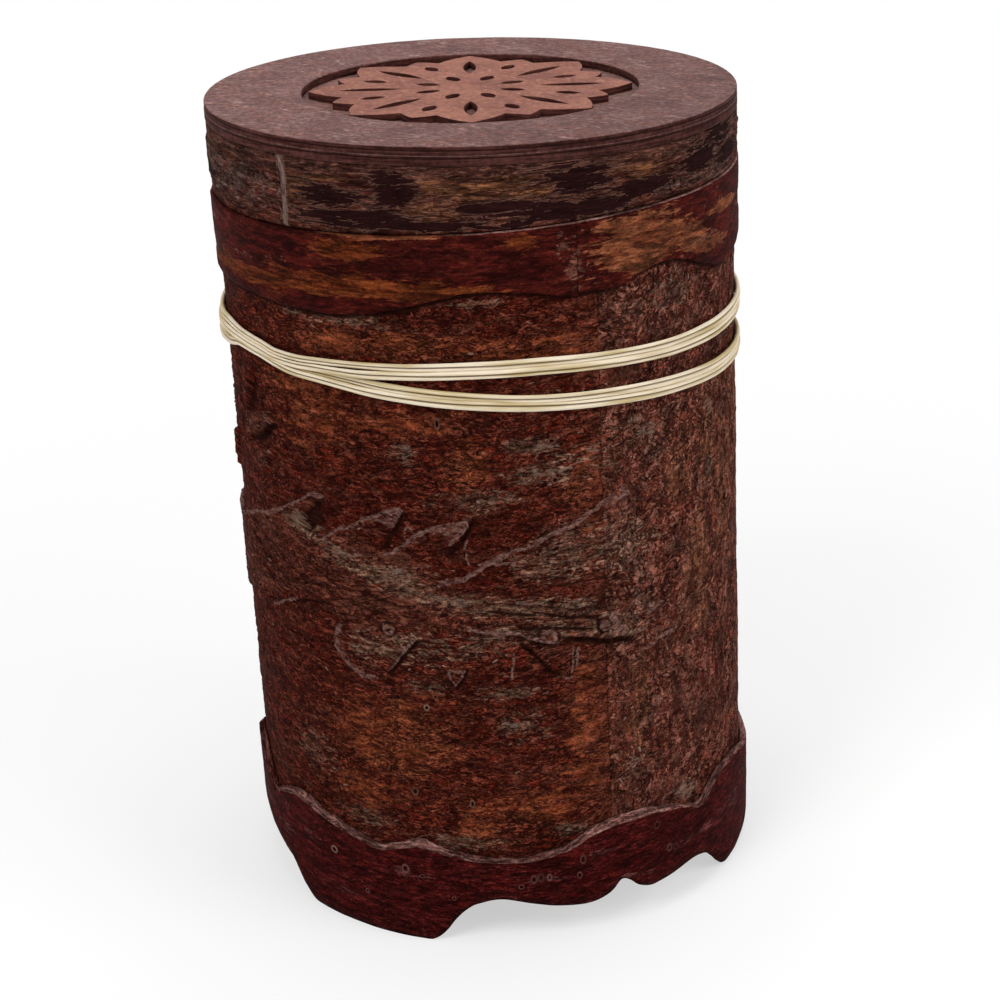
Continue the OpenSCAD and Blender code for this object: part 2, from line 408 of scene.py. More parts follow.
def solid(
    name: str,
    corners: Array,
    faces: Sequence[Sequence[int]],
    sheet: Array | None = None,
    fields: Fields | None = None,
) -> Thing:
    """Makes a mesh object from arrays.

    Args:
        name: Name of the piece.
        corners: Corners in metres.
        faces: Corner numbers of each face.
        sheet: Sheet coordinates of each corner.
        fields: Named values of each corner, read by the finishes.

    Returns:
        The new object, at the origin.
    """
    mesh = bpy.data.meshes.new(name)
    mesh.from_pydata(corners.tolist(), [], faces)
    mesh.polygons.foreach_set("use_smooth", np.ones(len(mesh.polygons), bool))
    if sheet is not None:
        ends = np.zeros(len(mesh.loops), np.int32)
        mesh.loops.foreach_get("vertex_index", ends)
        layer = mesh.uv_layers.new(name=Source.SHEET.value)
        layer.data.foreach_set("uv", sheet[ends].astype(np.float32).ravel())
    for key, values in (fields or {}).items():
        attribute = mesh.attributes.new(key, "FLOAT", "POINT")
        attribute.data.foreach_set("value", values.astype(np.float32).ravel())
    mesh.update()
    return added(name, mesh)


def fit(piece: Thing, body: Body, slot: Slot, finish: Material, *nodes: str) -> Thing:
    """Gives a piece its finish and its body.

    Args:
        piece: The object.
        body: The body that it rides on.
        slot: The record's slot of its finish; not used.
        finish: Its material.
        nodes: Solids that it stands for.

    Returns:
        The object.
    """
    piece.data.materials.clear()
    piece.data.materials.append(finish)
    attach(piece, body.value)
    if nodes:
        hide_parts(*nodes)
    log.info("%s rides on %s with %d faces", piece.name, body.value, len(piece.data.polygons))
    return piece


# Finishes

class Wiring:
    """Puts nodes into one tree."""

    def __init__(self, tree: bpy.types.NodeTree) -> None:
        """Takes the tree and empties it."""
        self.tree = tree
        tree.nodes.clear()

    def put(self, kind: str, feeds: dict[str | int, Feed] | None = None, **settings: object) -> Node:
        """Adds a node.

        Args:
            kind: Kind of the node.
            feeds: What goes into its sockets, by name or number: a link or a value.
            settings: Its own settings.

        Returns:
            The node.
        """
        made = self.tree.nodes.new(kind)
        for key, value in settings.items():
            setattr(made, key, value)
        for key, value in (feeds or {}).items():
            socket = made.inputs[key]
            if isinstance(value, Socket):
                self.tree.links.new(value, socket)
            elif socket.type == "RGBA":
                socket.default_value = (*value, 1.0)
            else:
                socket.default_value = value
        return made


class Paint(Wiring):
    """Wires the nodes of one material."""

    skew = (1.0, 0.7, 1.3)

    def __init__(self, name: str, source: Source = Source.SHEET) -> None:
        """Starts an empty material on the flat sheet or on the solid itself."""
        self.source = source
        self.material = bpy.data.materials.new(name)
        self.material.use_nodes = True
        super().__init__(self.material.node_tree)

    def noise(
        self, size: Sequence[float], shift: float, detail: float, rough: float,
        bend: float = 0.0, turn: float = 0.0,
    ) -> Socket:
        """Noise from 0 to 1.

        Args:
            size: Length of a mark along two or three axes, in millimetres.
            shift: Distance that sets one pattern apart from another.
            detail: Number of finer layers.
            rough: Strength of the finer layers.
            bend: How far the marks are bent.
            turn: Turn of the pattern about Z, in degrees.

        Returns:
            The socket of the noise.
        """
        if self.source is Source.SHEET:
            start = self.put("ShaderNodeUVMap", uv_map=Source.SHEET.value).outputs[0]
        else:
            start = self.put("ShaderNodeTexCoord").outputs["Object"]
        turned = self.put("ShaderNodeMapping", {"Vector": start, "Rotation": (0.0, 0.0, math.radians(turn))})
        third = size[1] if self.source is Source.SHEET else size[0]
        feeds = {
            "Vector": turned.outputs[0],
            "Location": tuple(shift * s for s in self.skew),
            "Scale": tuple(1.0 / (s * MM) for s in (*size, third)[:3]),
        }
        sized = self.put("ShaderNodeMapping", feeds).outputs[0]
        feeds = {"Vector": sized, "Scale": 1.0, "Detail": detail, "Roughness": rough, "Distortion": bend}
        return self.put("ShaderNodeTexNoise", feeds, noise_dimensions="3D").outputs[0]

    def value(self, name: str) -> Socket:
        """A piece's own named field."""
        return self.put("ShaderNodeAttribute", attribute_name=name).outputs["Fac"]

    def sums(self, way: str, a: Feed, b: Feed = 0.0) -> Socket:
        """Arithmetic on two values."""
        return self.put("ShaderNodeMath", {0: a, 1: b}, operation=way).outputs[0]

    def part(self, value: Feed, share: Feed) -> Socket:
        """Share of a value."""
        return self.sums("MULTIPLY", value, share)

    def step(self, value: Socket, low: float, high: float) -> Socket:
        """Smooth step from 0 at low to 1 at high."""
        feeds = {"Value": value, "From Min": low, "From Max": high}
        return self.put("ShaderNodeMapRange", feeds, interpolation_type="SMOOTHSTEP", clamp=True).outputs[0]

    def scaled(self, value: Socket, low: float, high: float) -> Socket:
        """Maps a value from 0..1 to low..high."""
        feeds = {"Value": value, "To Min": low, "To Max": high}
        return self.put("ShaderNodeMapRange", feeds, clamp=True).outputs[0]

    def mix(self, share: Feed, a: Feed, b: Feed, blend: str = "MIX") -> Socket:
        """Mixes two colours."""
        settings = {"data_type": "RGBA", "blend_type": blend, "clamp_factor": True}
        return self.put("ShaderNodeMix", {0: share, 6: a, 7: b}, **settings).outputs[2]

    def shade(self, colour: Socket, share: Socket, low: float, high: float) -> Socket:
        """Multiplies a colour by low where the share is 0 and by high where it is 1."""
        return self.mix(1.0, colour, self.scaled(share, low, high), "MULTIPLY")

    def bump(self, height: Socket, depth: float, strength: float) -> Socket:
        """Normal of a bumpy surface, depth in millimetres."""
        feeds = {"Height": height, "Distance": depth * MM, "Strength": strength}
        return self.put("ShaderNodeBump", feeds).outputs[0]

    def close(self, colour: Socket, rough: Feed, normal: Socket, gloss: float) -> Material:
        """Ends the tree in one shader.

        Args:
            colour: Base colour.
            rough: Roughness.
            normal: Normal.
            gloss: Specular level.

        Returns:
            The finished material.
        """
        feeds = {"Base Color": colour, "Roughness": rough, "Normal": normal, "Specular IOR Level": gloss}
        shader = self.put("ShaderNodeBsdfPrincipled", feeds)
        self.put("ShaderNodeOutputMaterial", {0: shader.outputs[0]})
        return self.material


@dataclass(frozen=True)
class Coat:
    """One colour that lies over the ground where a field and streaky noise say."""

    where: str
    low: RGB
    high: RGB
    mark: Point
    reach: float = 2.4
    crisp: float = 0.12
    cut: float = 0.5
    cover: float = 1.0
    lip: float = 0.0
    over: bool = False


@dataclass(frozen=True)
class BarkFinish:
    """Streaky bark with flecks, cracks and coats of other colours."""

    name: str
    deep: RGB
    ground: RGB
    fleck: RGB
    mark: Point
    coats: tuple[Coat, ...] = ()
    grain: Point = (1.3, 0.6)
    contrast: Point = (0.54, 1.48)
    gleam: float = 0.34
    fleck_mark: Point = (1.2, 0.5)
    fleck_cut: float = 0.62
    fleck_cover: float = 0.45
    crack: RGB = (0.01, 0.0025, 0.0016)
    crack_cover: float = 0.88
    source: Source = Source.SHEET
    rough: Point = (0.6, 0.9)
    depth: float = 0.46
    gloss: float = 0.015
    crack_mark: Point = (3.4, 1.4)
    lit_cover: float = 0.46
    dull: RGB = (0.055, 0.024, 0.014)
    dull_cover: float = 0.0
    speck: Point = (0.9, 1.12)
    blotch: Point = (0.68, 1.3)
    blotch_mark: Point = (4.2, 1.8)

    def material(self) -> Material:
        """Builds the finish's nodes.

        Returns:
            The material.
        """
        p = Paint(self.name, self.source)
        streak = p.noise(self.mark, 0.0, 5.0, 0.62, 0.5)
        grain = p.noise(self.grain, 31.0, 4.0, 0.7, 1.0)
        speck = p.noise((0.42, 0.36, 0.42), 23.0, 2.0, 0.6)
        broad = p.noise((13.0, 8.0), 3.0, 3.0, 0.5, 0.6)
        tone = p.sums("ADD", p.part(streak, 0.6), p.part(broad, 0.4))
        colour = p.mix(p.step(tone, 0.42, 0.58), self.deep, self.ground)
        faded = p.noise((7.0, 3.0), 63.0, 5.0, 0.65, 0.8)
        colour = p.mix(p.part(p.step(faded, 0.5, 0.6), self.dull_cover), colour, self.dull)
        fine = p.part(p.sums("SUBTRACT", grain, 0.5), 0.8)
        colour = self.lay(p, colour, fine, False)
        flecks = p.noise(self.fleck_mark, 53.0, 3.0, 0.6, 0.8)
        shown = p.step(flecks, self.fleck_cut, self.fleck_cut + 0.08)
        colour = p.mix(p.part(shown, self.fleck_cover), colour, self.fleck)
        # Cracks are darkened, partly their own colour and partly painted shade, and their lips get a painted
        # highlight in the fleck colour.
        line, lit = self.split(p, 1.0, 77.0, broad)
        thin, glint = self.split(p, 0.45, 91.0, streak)
        line, lit = p.sums("MAXIMUM", line, thin), p.sums("MAXIMUM", lit, glint)
        colour = p.mix(p.part(lit, self.lit_cover), colour, self.fleck)
        colour = p.mix(p.part(line, self.crack_cover), colour, self.crack)
        colour = p.shade(colour, p.step(grain, 0.37, 0.63), *self.contrast)
        colour = p.mix(p.part(p.step(grain, 0.54, 0.7), self.gleam), colour, self.fleck)
        colour = p.shade(colour, p.step(speck, 0.36, 0.64), *self.speck)
        stained = p.noise(self.blotch_mark, 17.0, 3.0, 0.7, 0.9)
        colour = p.shade(colour, p.step(stained, 0.4, 0.6), *self.blotch)
        colour = self.lay(p, colour, fine, True)
        height = p.sums("ADD", streak, p.part(grain, 0.6))
        height = p.sums("ADD", height, p.part(shown, 0.2))
        height = p.sums("SUBTRACT", height, p.part(line, 0.35))
        return p.close(colour, p.scaled(streak, *self.rough), p.bump(height, self.depth, 0.9), self.gloss)

    def lay(self, p: Paint, colour: Socket, fine: Socket, over: bool) -> Socket:
        """Lays coats on the bark.

        Args:
            p: The material's nodes.
            colour: The colour so far.
            fine: Grain that frays the coats' outlines.
            over: Whether it is the turn of the coats that hide flecks and cracks.

        Returns:
            The colour with the coats on it.
        """
        for k, coat in enumerate(self.coats):
            if coat.over is not over:
                continue
            ragged = p.noise(coat.mark, 7.0 + 5.0 * k, 6.0, 0.66, 0.8)
            wear_and_shade = p.sums("ADD", p.part(p.sums("SUBTRACT", ragged, 0.5), coat.reach), fine)
            there = p.value(coat.where)
            level, here = p.sums("ADD", there, wear_and_shade), p.step(there, 0.02, 0.14)
            low, high = coat.cut - coat.crisp, coat.cut + coat.crisp
            if coat.lip:
                near = p.part(p.step(level, low - coat.lip, low), here)
                colour = p.mix(p.part(near, 0.6), colour, self.fleck)
            share = p.part(p.step(level, low, high), here)
            tone = p.mix(p.step(ragged, 0.38, 0.66), coat.low, coat.high)
            colour = p.mix(p.part(share, coat.cover), colour, tone)
        return colour

    def split(self, p: Paint, scale: float, shift: float, zone: Socket) -> tuple[Socket, Socket]:
        """Wandering cracks of the bark.

        Args:
            p: The material's nodes.
            scale: Size of the cracks against the finish's own.
            shift: Distance that sets one set of cracks apart from another.
            zone: Noise that says where they are.

        Returns:
            Sockets that are 1 along the cracks, darkened partly as painted shade, and along their raised
            lips, which get a painted highlight.
        """
        fault = p.noise([scale * s for s in self.crack_mark], shift, 4.0, 0.58, 1.3)
        fault = p.sums("SUBTRACT", fault, 0.5)
        line = p.sums("SUBTRACT", 1.0, p.step(p.sums("ABSOLUTE", fault), 0.018, 0.06))
        lit = p.sums("SUBTRACT", p.step(fault, 0.05, 0.08), p.step(fault, 0.095, 0.16))
        here = p.step(zone, 0.4, 0.55)
        return p.part(line, here), p.part(lit, here)


@dataclass(frozen=True)
class RaffiaFinish:
    """Pale split leaf with fine lines along the strand."""

    name: str = "raffia_straw"
    pale: RGB = (0.8, 0.69, 0.53)
    straw: RGB = (0.52, 0.4, 0.2)
    # fold: colour of creases and undersides, painted shade.
    fold: RGB = (0.14, 0.085, 0.03)

    def material(self) -> Material:
        """Builds the finish's nodes.

        Returns:
            The material.
        """
        p = Paint(self.name)
        lines = p.noise((9.0, 0.16, 1.0), 0.0, 3.0, 0.55)
        slow = p.noise((14.0, 0.9, 1.0), 11.0, 2.0, 0.5)
        colour = p.mix(p.step(slow, 0.42, 0.66), self.pale, self.straw)
        colour = p.mix(p.part(p.step(lines, 0.52, 0.7), 0.6), colour, self.straw)
        # Painted shade in the creases and on the undersides of the strands.
        colour = p.mix(p.part(p.step(p.value("fold"), 0.15, 0.9), 0.9), colour, self.fold)
        normal = p.bump(lines, 0.09, 0.8)
        return p.close(colour, 0.55, normal, 0.15)


@dataclass(frozen=True)
class PlyFinish:
    """Sanded ply of pressed bark with fine pale flecks and scratches."""

    name: str
    dark: RGB
    body: RGB
    pale: RGB
    stain: RGB = (0.17, 0.072, 0.06)
    turn: float = 35.0
    grit: Point = (0.64, 1.34)
    depth: float = 0.11
    # rim and edge: layered colour of the side walls, darkened partly as painted shade.
    rim: RGB = (0.03, 0.008, 0.0064)
    edge: RGB = (0.08, 0.027, 0.022)
    joint: RGB = (0.016, 0.005, 0.004)

    def material(self) -> Material:
        """Builds the finish's nodes.

        Returns:
            The material.
        """
        p = Paint(self.name, Source.SOLID)
        clouds = p.noise((9.0, 9.0, 9.0), 0.0, 4.0, 0.6)
        grit = p.noise((0.9, 0.9, 0.9), 3.0, 4.0, 0.68)
        fibre = p.noise((2.4, 0.9, 1.2), 19.0, 4.0, 0.62, 0.8, turn=self.turn)
        stain = p.noise((6.0, 3.6, 4.0), 29.0, 5.0, 0.66, 0.8, turn=self.turn)
        curl = p.noise((5.0, 3.0, 3.0), 41.0, 3.0, 0.6, 2.0, turn=-self.turn)
        colour = p.mix(p.step(clouds, 0.35, 0.65), self.dark, self.body)
        colour = p.mix(p.part(p.step(stain, 0.48, 0.62), 0.75), colour, self.stain)
        colour = p.mix(p.part(p.step(fibre, 0.55, 0.66), 0.6), colour, self.pale)
        off = p.sums("ABSOLUTE", p.sums("SUBTRACT", curl, 0.52))
        thread = p.sums("SUBTRACT", 1.0, p.step(off, 0.002, 0.012))
        thread = p.part(thread, p.step(stain, 0.5, 0.6))
        colour = p.mix(p.part(thread, 0.6), colour, self.pale)
        layers = p.noise((7.0, 7.0, 0.4), 57.0, 4.0, 0.6, 0.4)
        # Side walls take the dark layered edge colour, partly painted shade.
        colour = p.mix(p.value("rim"), colour, p.mix(p.step(layers, 0.36, 0.64), self.rim, self.edge))
        colour = p.mix(p.part(p.value("joint"), p.step(layers, 0.3, 0.5)), colour, self.joint)
        colour = p.shade(colour, p.step(grit, 0.34, 0.66), *self.grit)
        # Painted shade: darker towards the front and right, slightly lighter towards the back and left.
        colour = p.shade(colour, p.value("wear_and_shade"), 1.03, 0.83)
        height = p.sums("ADD", grit, p.part(fibre, 0.7))
        return p.close(colour, p.scaled(clouds, 0.6, 0.85), p.bump(height, self.depth, 0.8), 0.05)


# Bark sheets

@dataclass(frozen=True)
class Patch:
    """Oval patch on a sheet, by its middle and half its spread."""

    angle: float
    height: float
    half_angle: float
    half_height: float


Patches = tuple[Patch, ...]


def spots(*rows: tuple[float, float, float, float]) -> Patches:
    """Patches from rows of a middle and half a spread."""
    return tuple(Patch(*row) for row in rows)


def patched(patches: Iterable[Patch], angle: Array, height: Array) -> Array:
    """Field that is 1 inside the patches, a half on their outlines and 0 far away."""
    best = np.zeros(angle.shape)
    for spot in patches:
        across = turn_between(angle, spot.angle) / spot.half_angle
        up = (height - spot.height) / spot.half_height
        best = np.maximum(best, 1.0 / (1.0 + (across**2 + up**2) ** 2))
    return best


def pitted(pores: Iterable[Patch], angle: Array, height: Array, radius: float) -> Array:
    """Field that is 1 in the middle of each pore."""
    best = np.zeros(angle.shape)
    for spot in pores:
        across = arc_between(angle, spot.angle, radius) / spot.half_angle
        up = (height - spot.height) / spot.half_height
        best = np.maximum(best, np.exp(-2.0 * (across**2 + up**2)))
    return best


def flare(angle: Array, height: Array, most: float = 0.75, top: float = 95.0) -> Array:
    """How far the box leans out towards its foot, on the right only."""
    return most * np.clip(np.sin(np.radians(angle)), 0.0, 1.0) * np.clip(1.0 - height / top, 0.0, 1.0)


def strewn(seed: int, count: int, turn: Point, rise: Point, size: Point) -> Patches:
    """Patches for a stretch that the front view does not show.

    Args:
        seed: Fixed seed.
        count: Number of patches.
        turn: First and last angle.
        rise: Lowest and highest middle.
        size: Half of the angle and half of the height of a middling patch.

    Returns:
        The patches.
    """
    rng = np.random.default_rng(seed)
    made = []
    for _ in range(count):
        scale = rng.uniform(0.6, 1.5)
        made.append(Patch(rng.uniform(*turn), rng.uniform(*rise), size[0] * scale, size[1] * scale))
    return tuple(made)


def segment_distance(u: Array, v: Array, start: Point, end: Point) -> Array:
    """Distance of each point from a straight stretch."""
    du, dv = end[0] - start[0], end[1] - start[1]
    t = np.clip(((u - start[0]) * du + (v - start[1]) * dv) / (du * du + dv * dv), 0.0, 1.0)
    return np.hypot(u - start[0] - t * du, v - start[1] - t * dv)


def path_distance(u: Array, v: Array, path: Sequence[Point]) -> Array:
    """Distance of each point from a path."""
    return np.min([segment_distance(u, v, a, b) for a, b in zip(path, path[1:])], axis=0)


def depth_inside(u: Array, v: Array, outline: Sequence[Point]) -> Array:
    """Distance of each point inside a closed outline, negative outside it."""
    ring = [*outline, outline[0]]
    inside = np.zeros(u.shape, bool)
    for (au, av), (bu, bv) in zip(ring, ring[1:]):
        crossing = (av > v) != (bv > v)
        level = bv - av if bv != av else 1.0
        inside ^= crossing & (u < (bu - au) * (v - av) / level + au)
    return np.where(inside, 1.0, -1.0) * path_distance(u, v, ring)


@dataclass(frozen=True)
class Plate:
    """Raised or sunk patch of the carving, its outline as angles and heights."""

    outline: Keys
    rise: float
    edge: float
    lean: float = 1.0
    face: float = 0.0


@dataclass(frozen=True)
class Stroke:
    """Raised or cut line of the carving, its path as angles and heights."""

    path: Keys
    rise: float
    width: float


def plates(*rows: tuple) -> tuple[Plate, ...]:
    """Plates from rows of rise, edge, lean, face and the points of the outline."""
    return tuple(Plate(tuple(outline), rise, edge, lean, face) for rise, edge, lean, face, *outline in rows)


def strokes(*rows: tuple) -> tuple[Stroke, ...]:
    """Strokes from rows of rise, width and the points of the path."""
    return tuple(Stroke(tuple(path), rise, width) for rise, width, *path in rows)


@dataclass(frozen=True)
class Carved:
    """What the carving does to each point of a sheet."""

    rise: Array
    raised: Array
    # pale: the carving's lighter cut lines and rings, partly their own colour and partly painted highlight on
    # raised edges.
    pale: Array
    # gap: painted shade in the cuts and hollows and round the eyes and knobs.
    gap: Array
    moss: Array


@dataclass(frozen=True)
class Relief:
    """Spiny creature with a long head, carved in low relief."""

    radius: float
    wander: float = 0.35
    body: Plate = Plate(
        (
            (-92, 69.5), (-80, 69.6), (-63, 74.6), (-50, 77.8), (-43, 75), (-36, 75.4), (-29, 76.4),
            (-24, 74), (-19, 74.6), (-14, 72), (-11, 68.2), (-4, 67), (3, 66.8), (12, 66.2), (18, 64.8),
            (21, 63.2), (25, 61.2), (31, 56.3), (22, 56.5), (13, 57.2), (5, 58.6), (-5, 60), (-20, 60.3),
            (-36, 60), (-46, 62.3), (-56, 60.4), (-66, 57.6), (-80, 54.5), (-92, 53.5), (-106, 58),
            (-118, 67), (-126, 79), (-131, 91), (-126, 92), (-119, 83), (-108, 74),
        ),
        0.75,
        0.9,
    )
    spines: tuple[Plate, ...] = plates(
        (1.0, 0.5, 0.3, 0.0, (-50.7, 77), (-43.4, 80.3), (-40.1, 82), (-37.3, 82), (-39.6, 79.4),
         (-42.3, 77.1), (-46.8, 77.1)),
        (1.0, 0.5, 0.3, 0.42, (-38.3, 74.1), (-33.3, 76.7), (-24.8, 80), (-22.2, 81.2), (-19.4, 81.5),
         (-19, 80.9), (-21.1, 78.1), (-23.8, 78.9), (-31.3, 76.1)),
        (1.0, 0.5, 0.3, 0.5, (-23.6, 73.2), (-19.1, 75), (-16.7, 76.8), (-11.6, 78.8), (-4.8, 80.2),
         (-4.9, 78.8), (-8.7, 75.7), (-10.6, 77.7), (-18.5, 74.2)),
        (1.0, 0.5, 0.3, 0.0, (-68.5, 93.8), (-60.3, 100), (-65.8, 92.2)),
        (1.0, 0.5, 0.4, 0.4, (-66, 91.4), (-52.9, 94), (-52.1, 92.2), (-59.7, 88.2), (-65.5, 87.6)),
        (0.9, 0.5, 0.4, 0.4, (-62.2, 84.9), (-53.5, 87.5), (-57.3, 82.1), (-61.4, 81.4)),
        (1.0, 0.5, 0.3, 0.0, (-88, 79), (-76, 86), (-80, 77.5)),
        (1.0, 0.5, 0.3, 0.0, (-105, 82), (-93, 90), (-97, 80.5)),
        (0.4, 1.0, 1.0, 0.0, (-37, 59.5), (-38.2, 54.5), (-34, 51.2), (-28, 50.2), (-22.5, 53.4),
         (-17.4, 58.8), (-26, 60.2)),
        (0.5, 0.5, 1.0, 0.0, (5.4, 57.2), (16.1, 56), (16, 50.3), (13.4, 50.3), (9.1, 53.8)),
        (0.4, 0.4, 1.0, 0.0, (-10.7, 52.8), (-7.2, 52.9), (-9.1, 49.9)),
        (1.0, 0.4, 1.0, 0.6, (-4.4, 63.7), (-3, 65.1), (-2.1, 63.6), (-3.4, 62)),
        (1.15, 0.6, 0.8, 0.8, (22.4, 57.8), (24.8, 59.9), (27.2, 57.9), (30, 55.3), (24.7, 55.9)),
    )
    hollows: tuple[Plate, ...] = plates(
        (-0.55, 0.9, 0.85, 0.0, (-44.6, 76.8), (-41.6, 79), (-38.2, 81.2), (-39.6, 78.4), (-38.2, 76.2),
         (-41, 76.4), (-43, 74.2)),
        (-0.55, 0.6, 1.0, 0.0, (-65.6, 92), (-60.2, 99.2), (-59, 96.6), (-62.4, 92)),
        (-0.4, 1.4, 0.5, 0.0, (20.1, 64.7), (25.7, 64.1), (26.4, 61.4), (21.8, 61.7)),
    )
    ridges: tuple[Stroke, ...] = strokes(
        (0.7, 0.95, (-11.3, 68.7), (-5.9, 69.6), (-0.5, 72.2), (4.8, 74.1), (10.2, 75.3), (15.7, 77.2),
         (21.3, 79.1), (25.8, 80.6), (30, 80.9)),
        (0.3, 0.55, (-0.5, 72.2), (4.7, 71.7)),
        (0.3, 0.5, (26.6, 81.5), (30.3, 79.6)),
        (0.3, 0.5, (29.1, 82.3), (29.7, 79.3)),
        (0.35, 0.7, (-92, 69.2), (-80, 69.6), (-73.4, 70.3), (-51, 76.9)),
        (0.25, 0.5, (-51.1, 76.9), (-43.4, 80.3), (-40.1, 81.9), (-37.6, 81.8)),
        (0.25, 0.5, (-38.3, 74.1), (-33.3, 76.7), (-28.5, 78.7), (-24.8, 79.9), (-22.2, 81.2),
         (-19.4, 81.5), (-19, 80.9), (-21.1, 78.2), (-24.8, 79.7)),
        (0.25, 0.55, (-23.1, 73.3), (-21, 73.8), (-16.7, 76.6), (-11.6, 78.6), (-5, 80), (-5.1, 78.8),
         (-8.7, 75.7), (-7.5, 77.4), (-10.2, 78.3)),
        (0.2, 0.45, (-18.7, 76.5), (-18.4, 78.1), (-17.5, 78.3), (-15.8, 76.8), (-18.1, 76.2)),
        (0.2, 0.45, (-4.8, 76.9), (-5.6, 74.4), (-4.7, 72.1)),
        (0.35, 1.2, (-35.7, 58.6), (-37, 56.4), (-37, 54.2), (-35.6, 52.4), (-33.3, 51.1), (-30.8, 49.8),
         (-27.7, 49.9)),
        (0.4, 0.8, (-5.8, 61), (-2.3, 59.9), (4.5, 59.4), (9.3, 57.8), (13, 57)),
        (0.3, 0.55, (25.8, 60.6), (27, 58.4), (28.5, 57.1), (30, 55.3)),
        (0.25, 0.5, (16.5, 55.4), (16.1, 51.4)),
        (0.25, 0.45, (17.6, 54.9), (17, 52.2)),
        (0.2, 0.5, (12.9, 50.5), (15.8, 50.1)),
        (0.2, 0.5, (-10.7, 52.8), (-7.2, 52.9), (-9.1, 49.9), (-10.7, 52.8)),
        (0.2, 0.5, (3.4, 55.3), (3.1, 51.5), (-0.2, 52)),
        (0.25, 0.5, (-17.6, 58), (-23.9, 52)),
        (0.3, 0.6, (-60.2, 56.7), (-49.5, 60.7)),
        (0.25, 0.6, (33.3, 51.9), (37, 52.3), (41, 53.1), (43.5, 53.1)),
        (0.2, 0.5, (31.8, 55.4), (34.5, 55.5), (35.7, 56.7)),
    )
    cuts: tuple[Stroke, ...] = strokes(
        (-0.65, 1.0, (-17.1, 57.6), (-20.6, 54.6), (-23.9, 51.2)),
        (-0.65, 0.9, (5.6, 56.8), (9.1, 53.8), (13.4, 50.5)),
        (-0.9, 1.5, (15.4, 57.2), (18.8, 56.3), (24.4, 55.1), (30.5, 54.2)),
        (-0.45, 1.0, (-18.8, 80.5), (-20.9, 77.4), (-23.2, 74.5)),
        (-0.45, 1.1, (-4.5, 79), (-6.1, 76.2), (-9, 73.9)),
        (-0.45, 0.8, (-6.8, 52.7), (-8.9, 49.3)),
        (-0.6, 0.9, (-5.5, 55.6), (-5.2, 55.3)),
        (-0.4, 0.6, (22.2, 60.2), (22.2, 58.4), (23.1, 57.3)),
        (-0.5, 0.8, (5.2, 60.3), (10.9, 60), (21, 58.4)),
        (-0.5, 0.8, (11, 62.3), (16.1, 61.3), (22.2, 60.4)),
        (-0.5, 0.75, (-1.4, 63.6), (4.2, 63.1), (8.1, 62.7)),
        (-0.3, 0.55, (-0.5, 65.4), (5.4, 64.5), (13.9, 63.5), (19.5, 61.9)),
        (-0.3, 0.55, (-3.2, 61.5), (0.9, 61), (5.2, 61.4)),
        (-0.4, 0.7, (-62, 57), (-50, 60), (-40, 62)),
        (-0.3, 0.6, (4, 71), (14, 70.6), (26, 71.4)),
        (-0.3, 0.6, (8, 68.6), (17, 68), (26, 68.6)),
        (-0.3, 0.55, (12, 73.4), (19, 72.8), (25, 73.2)),
        (-0.25, 0.55, (10, 77.4), (18, 76.6), (27, 77.2)),
        (-0.3, 0.6, (14, 66.8), (22, 67), (28, 66.4)),
        (-0.3, 0.6, (-46, 66.4), (-36, 64), (-24, 62.6)),
        (-0.28, 0.6, (-40, 68.6), (-28, 65.6), (-16, 63.6)),
        (-0.3, 0.6, (-76, 71), (-62, 67.5), (-48, 62.8)),
        (-0.3, 0.6, (-76, 67), (-64, 64.5), (-53, 61.2)),
        (-0.3, 0.6, (-68, 72.2), (-55, 69), (-42, 64)),
        (-0.3, 0.6, (-58, 74), (-46, 70), (-34, 65.2)),
        (-0.7, 1.3, (-65.5, 86.2), (-58.5, 88), (-53, 91.4)),
        (-0.35, 0.6, (-70.5, 96), (-71, 87)),
        (-0.3, 0.6, (-57.5, 101), (-57, 95), (-58, 90)),
        (-0.3, 0.6, (-47.5, 98), (-48, 92.6)),
        (-0.25, 0.6, (-63.6, 110), (-64.4, 106)),
    )
    eyes: tuple[tuple[Point, float], ...] = (((11.1, 58.4), 1.0), ((-23.6, 59.7), 0.7))
    knobs: tuple[tuple[Point, float], ...] = (((23.5, 58.9), 0.95), ((26.1, 59.9), 0.8))
    moss: tuple[Stroke, ...] = strokes(
        (1.0, 2.4, (-47, 76.2), (-34, 71.6), (-25, 69.4), (-16, 67.2), (-8, 65.4), (2, 64.2), (12, 63.4),
         (21, 61.8)),
        (0.75, 6.0, (8, 71), (18, 73.4), (33, 71)),
        (0.9, 3.6, (-30, 56), (-10, 56.4), (8, 59.6), (22, 59), (31, 56.6)),
        (0.6, 6.0, (16, 88), (27, 90)),
    )

    def flat(self, path: Keys) -> list[Point]:
        """Path on the unrolled sheet, in millimetres."""
        return [(math.radians(a) * self.radius, z) for a, z in path]

    def inside(self, plate: Plate, u: Array, v: Array) -> Array:
        """Field that is 1 inside a plate and fades over its edge."""
        return ease(-0.5 * plate.edge, 0.5 * plate.edge, depth_inside(u, v, self.flat(plate.outline)))

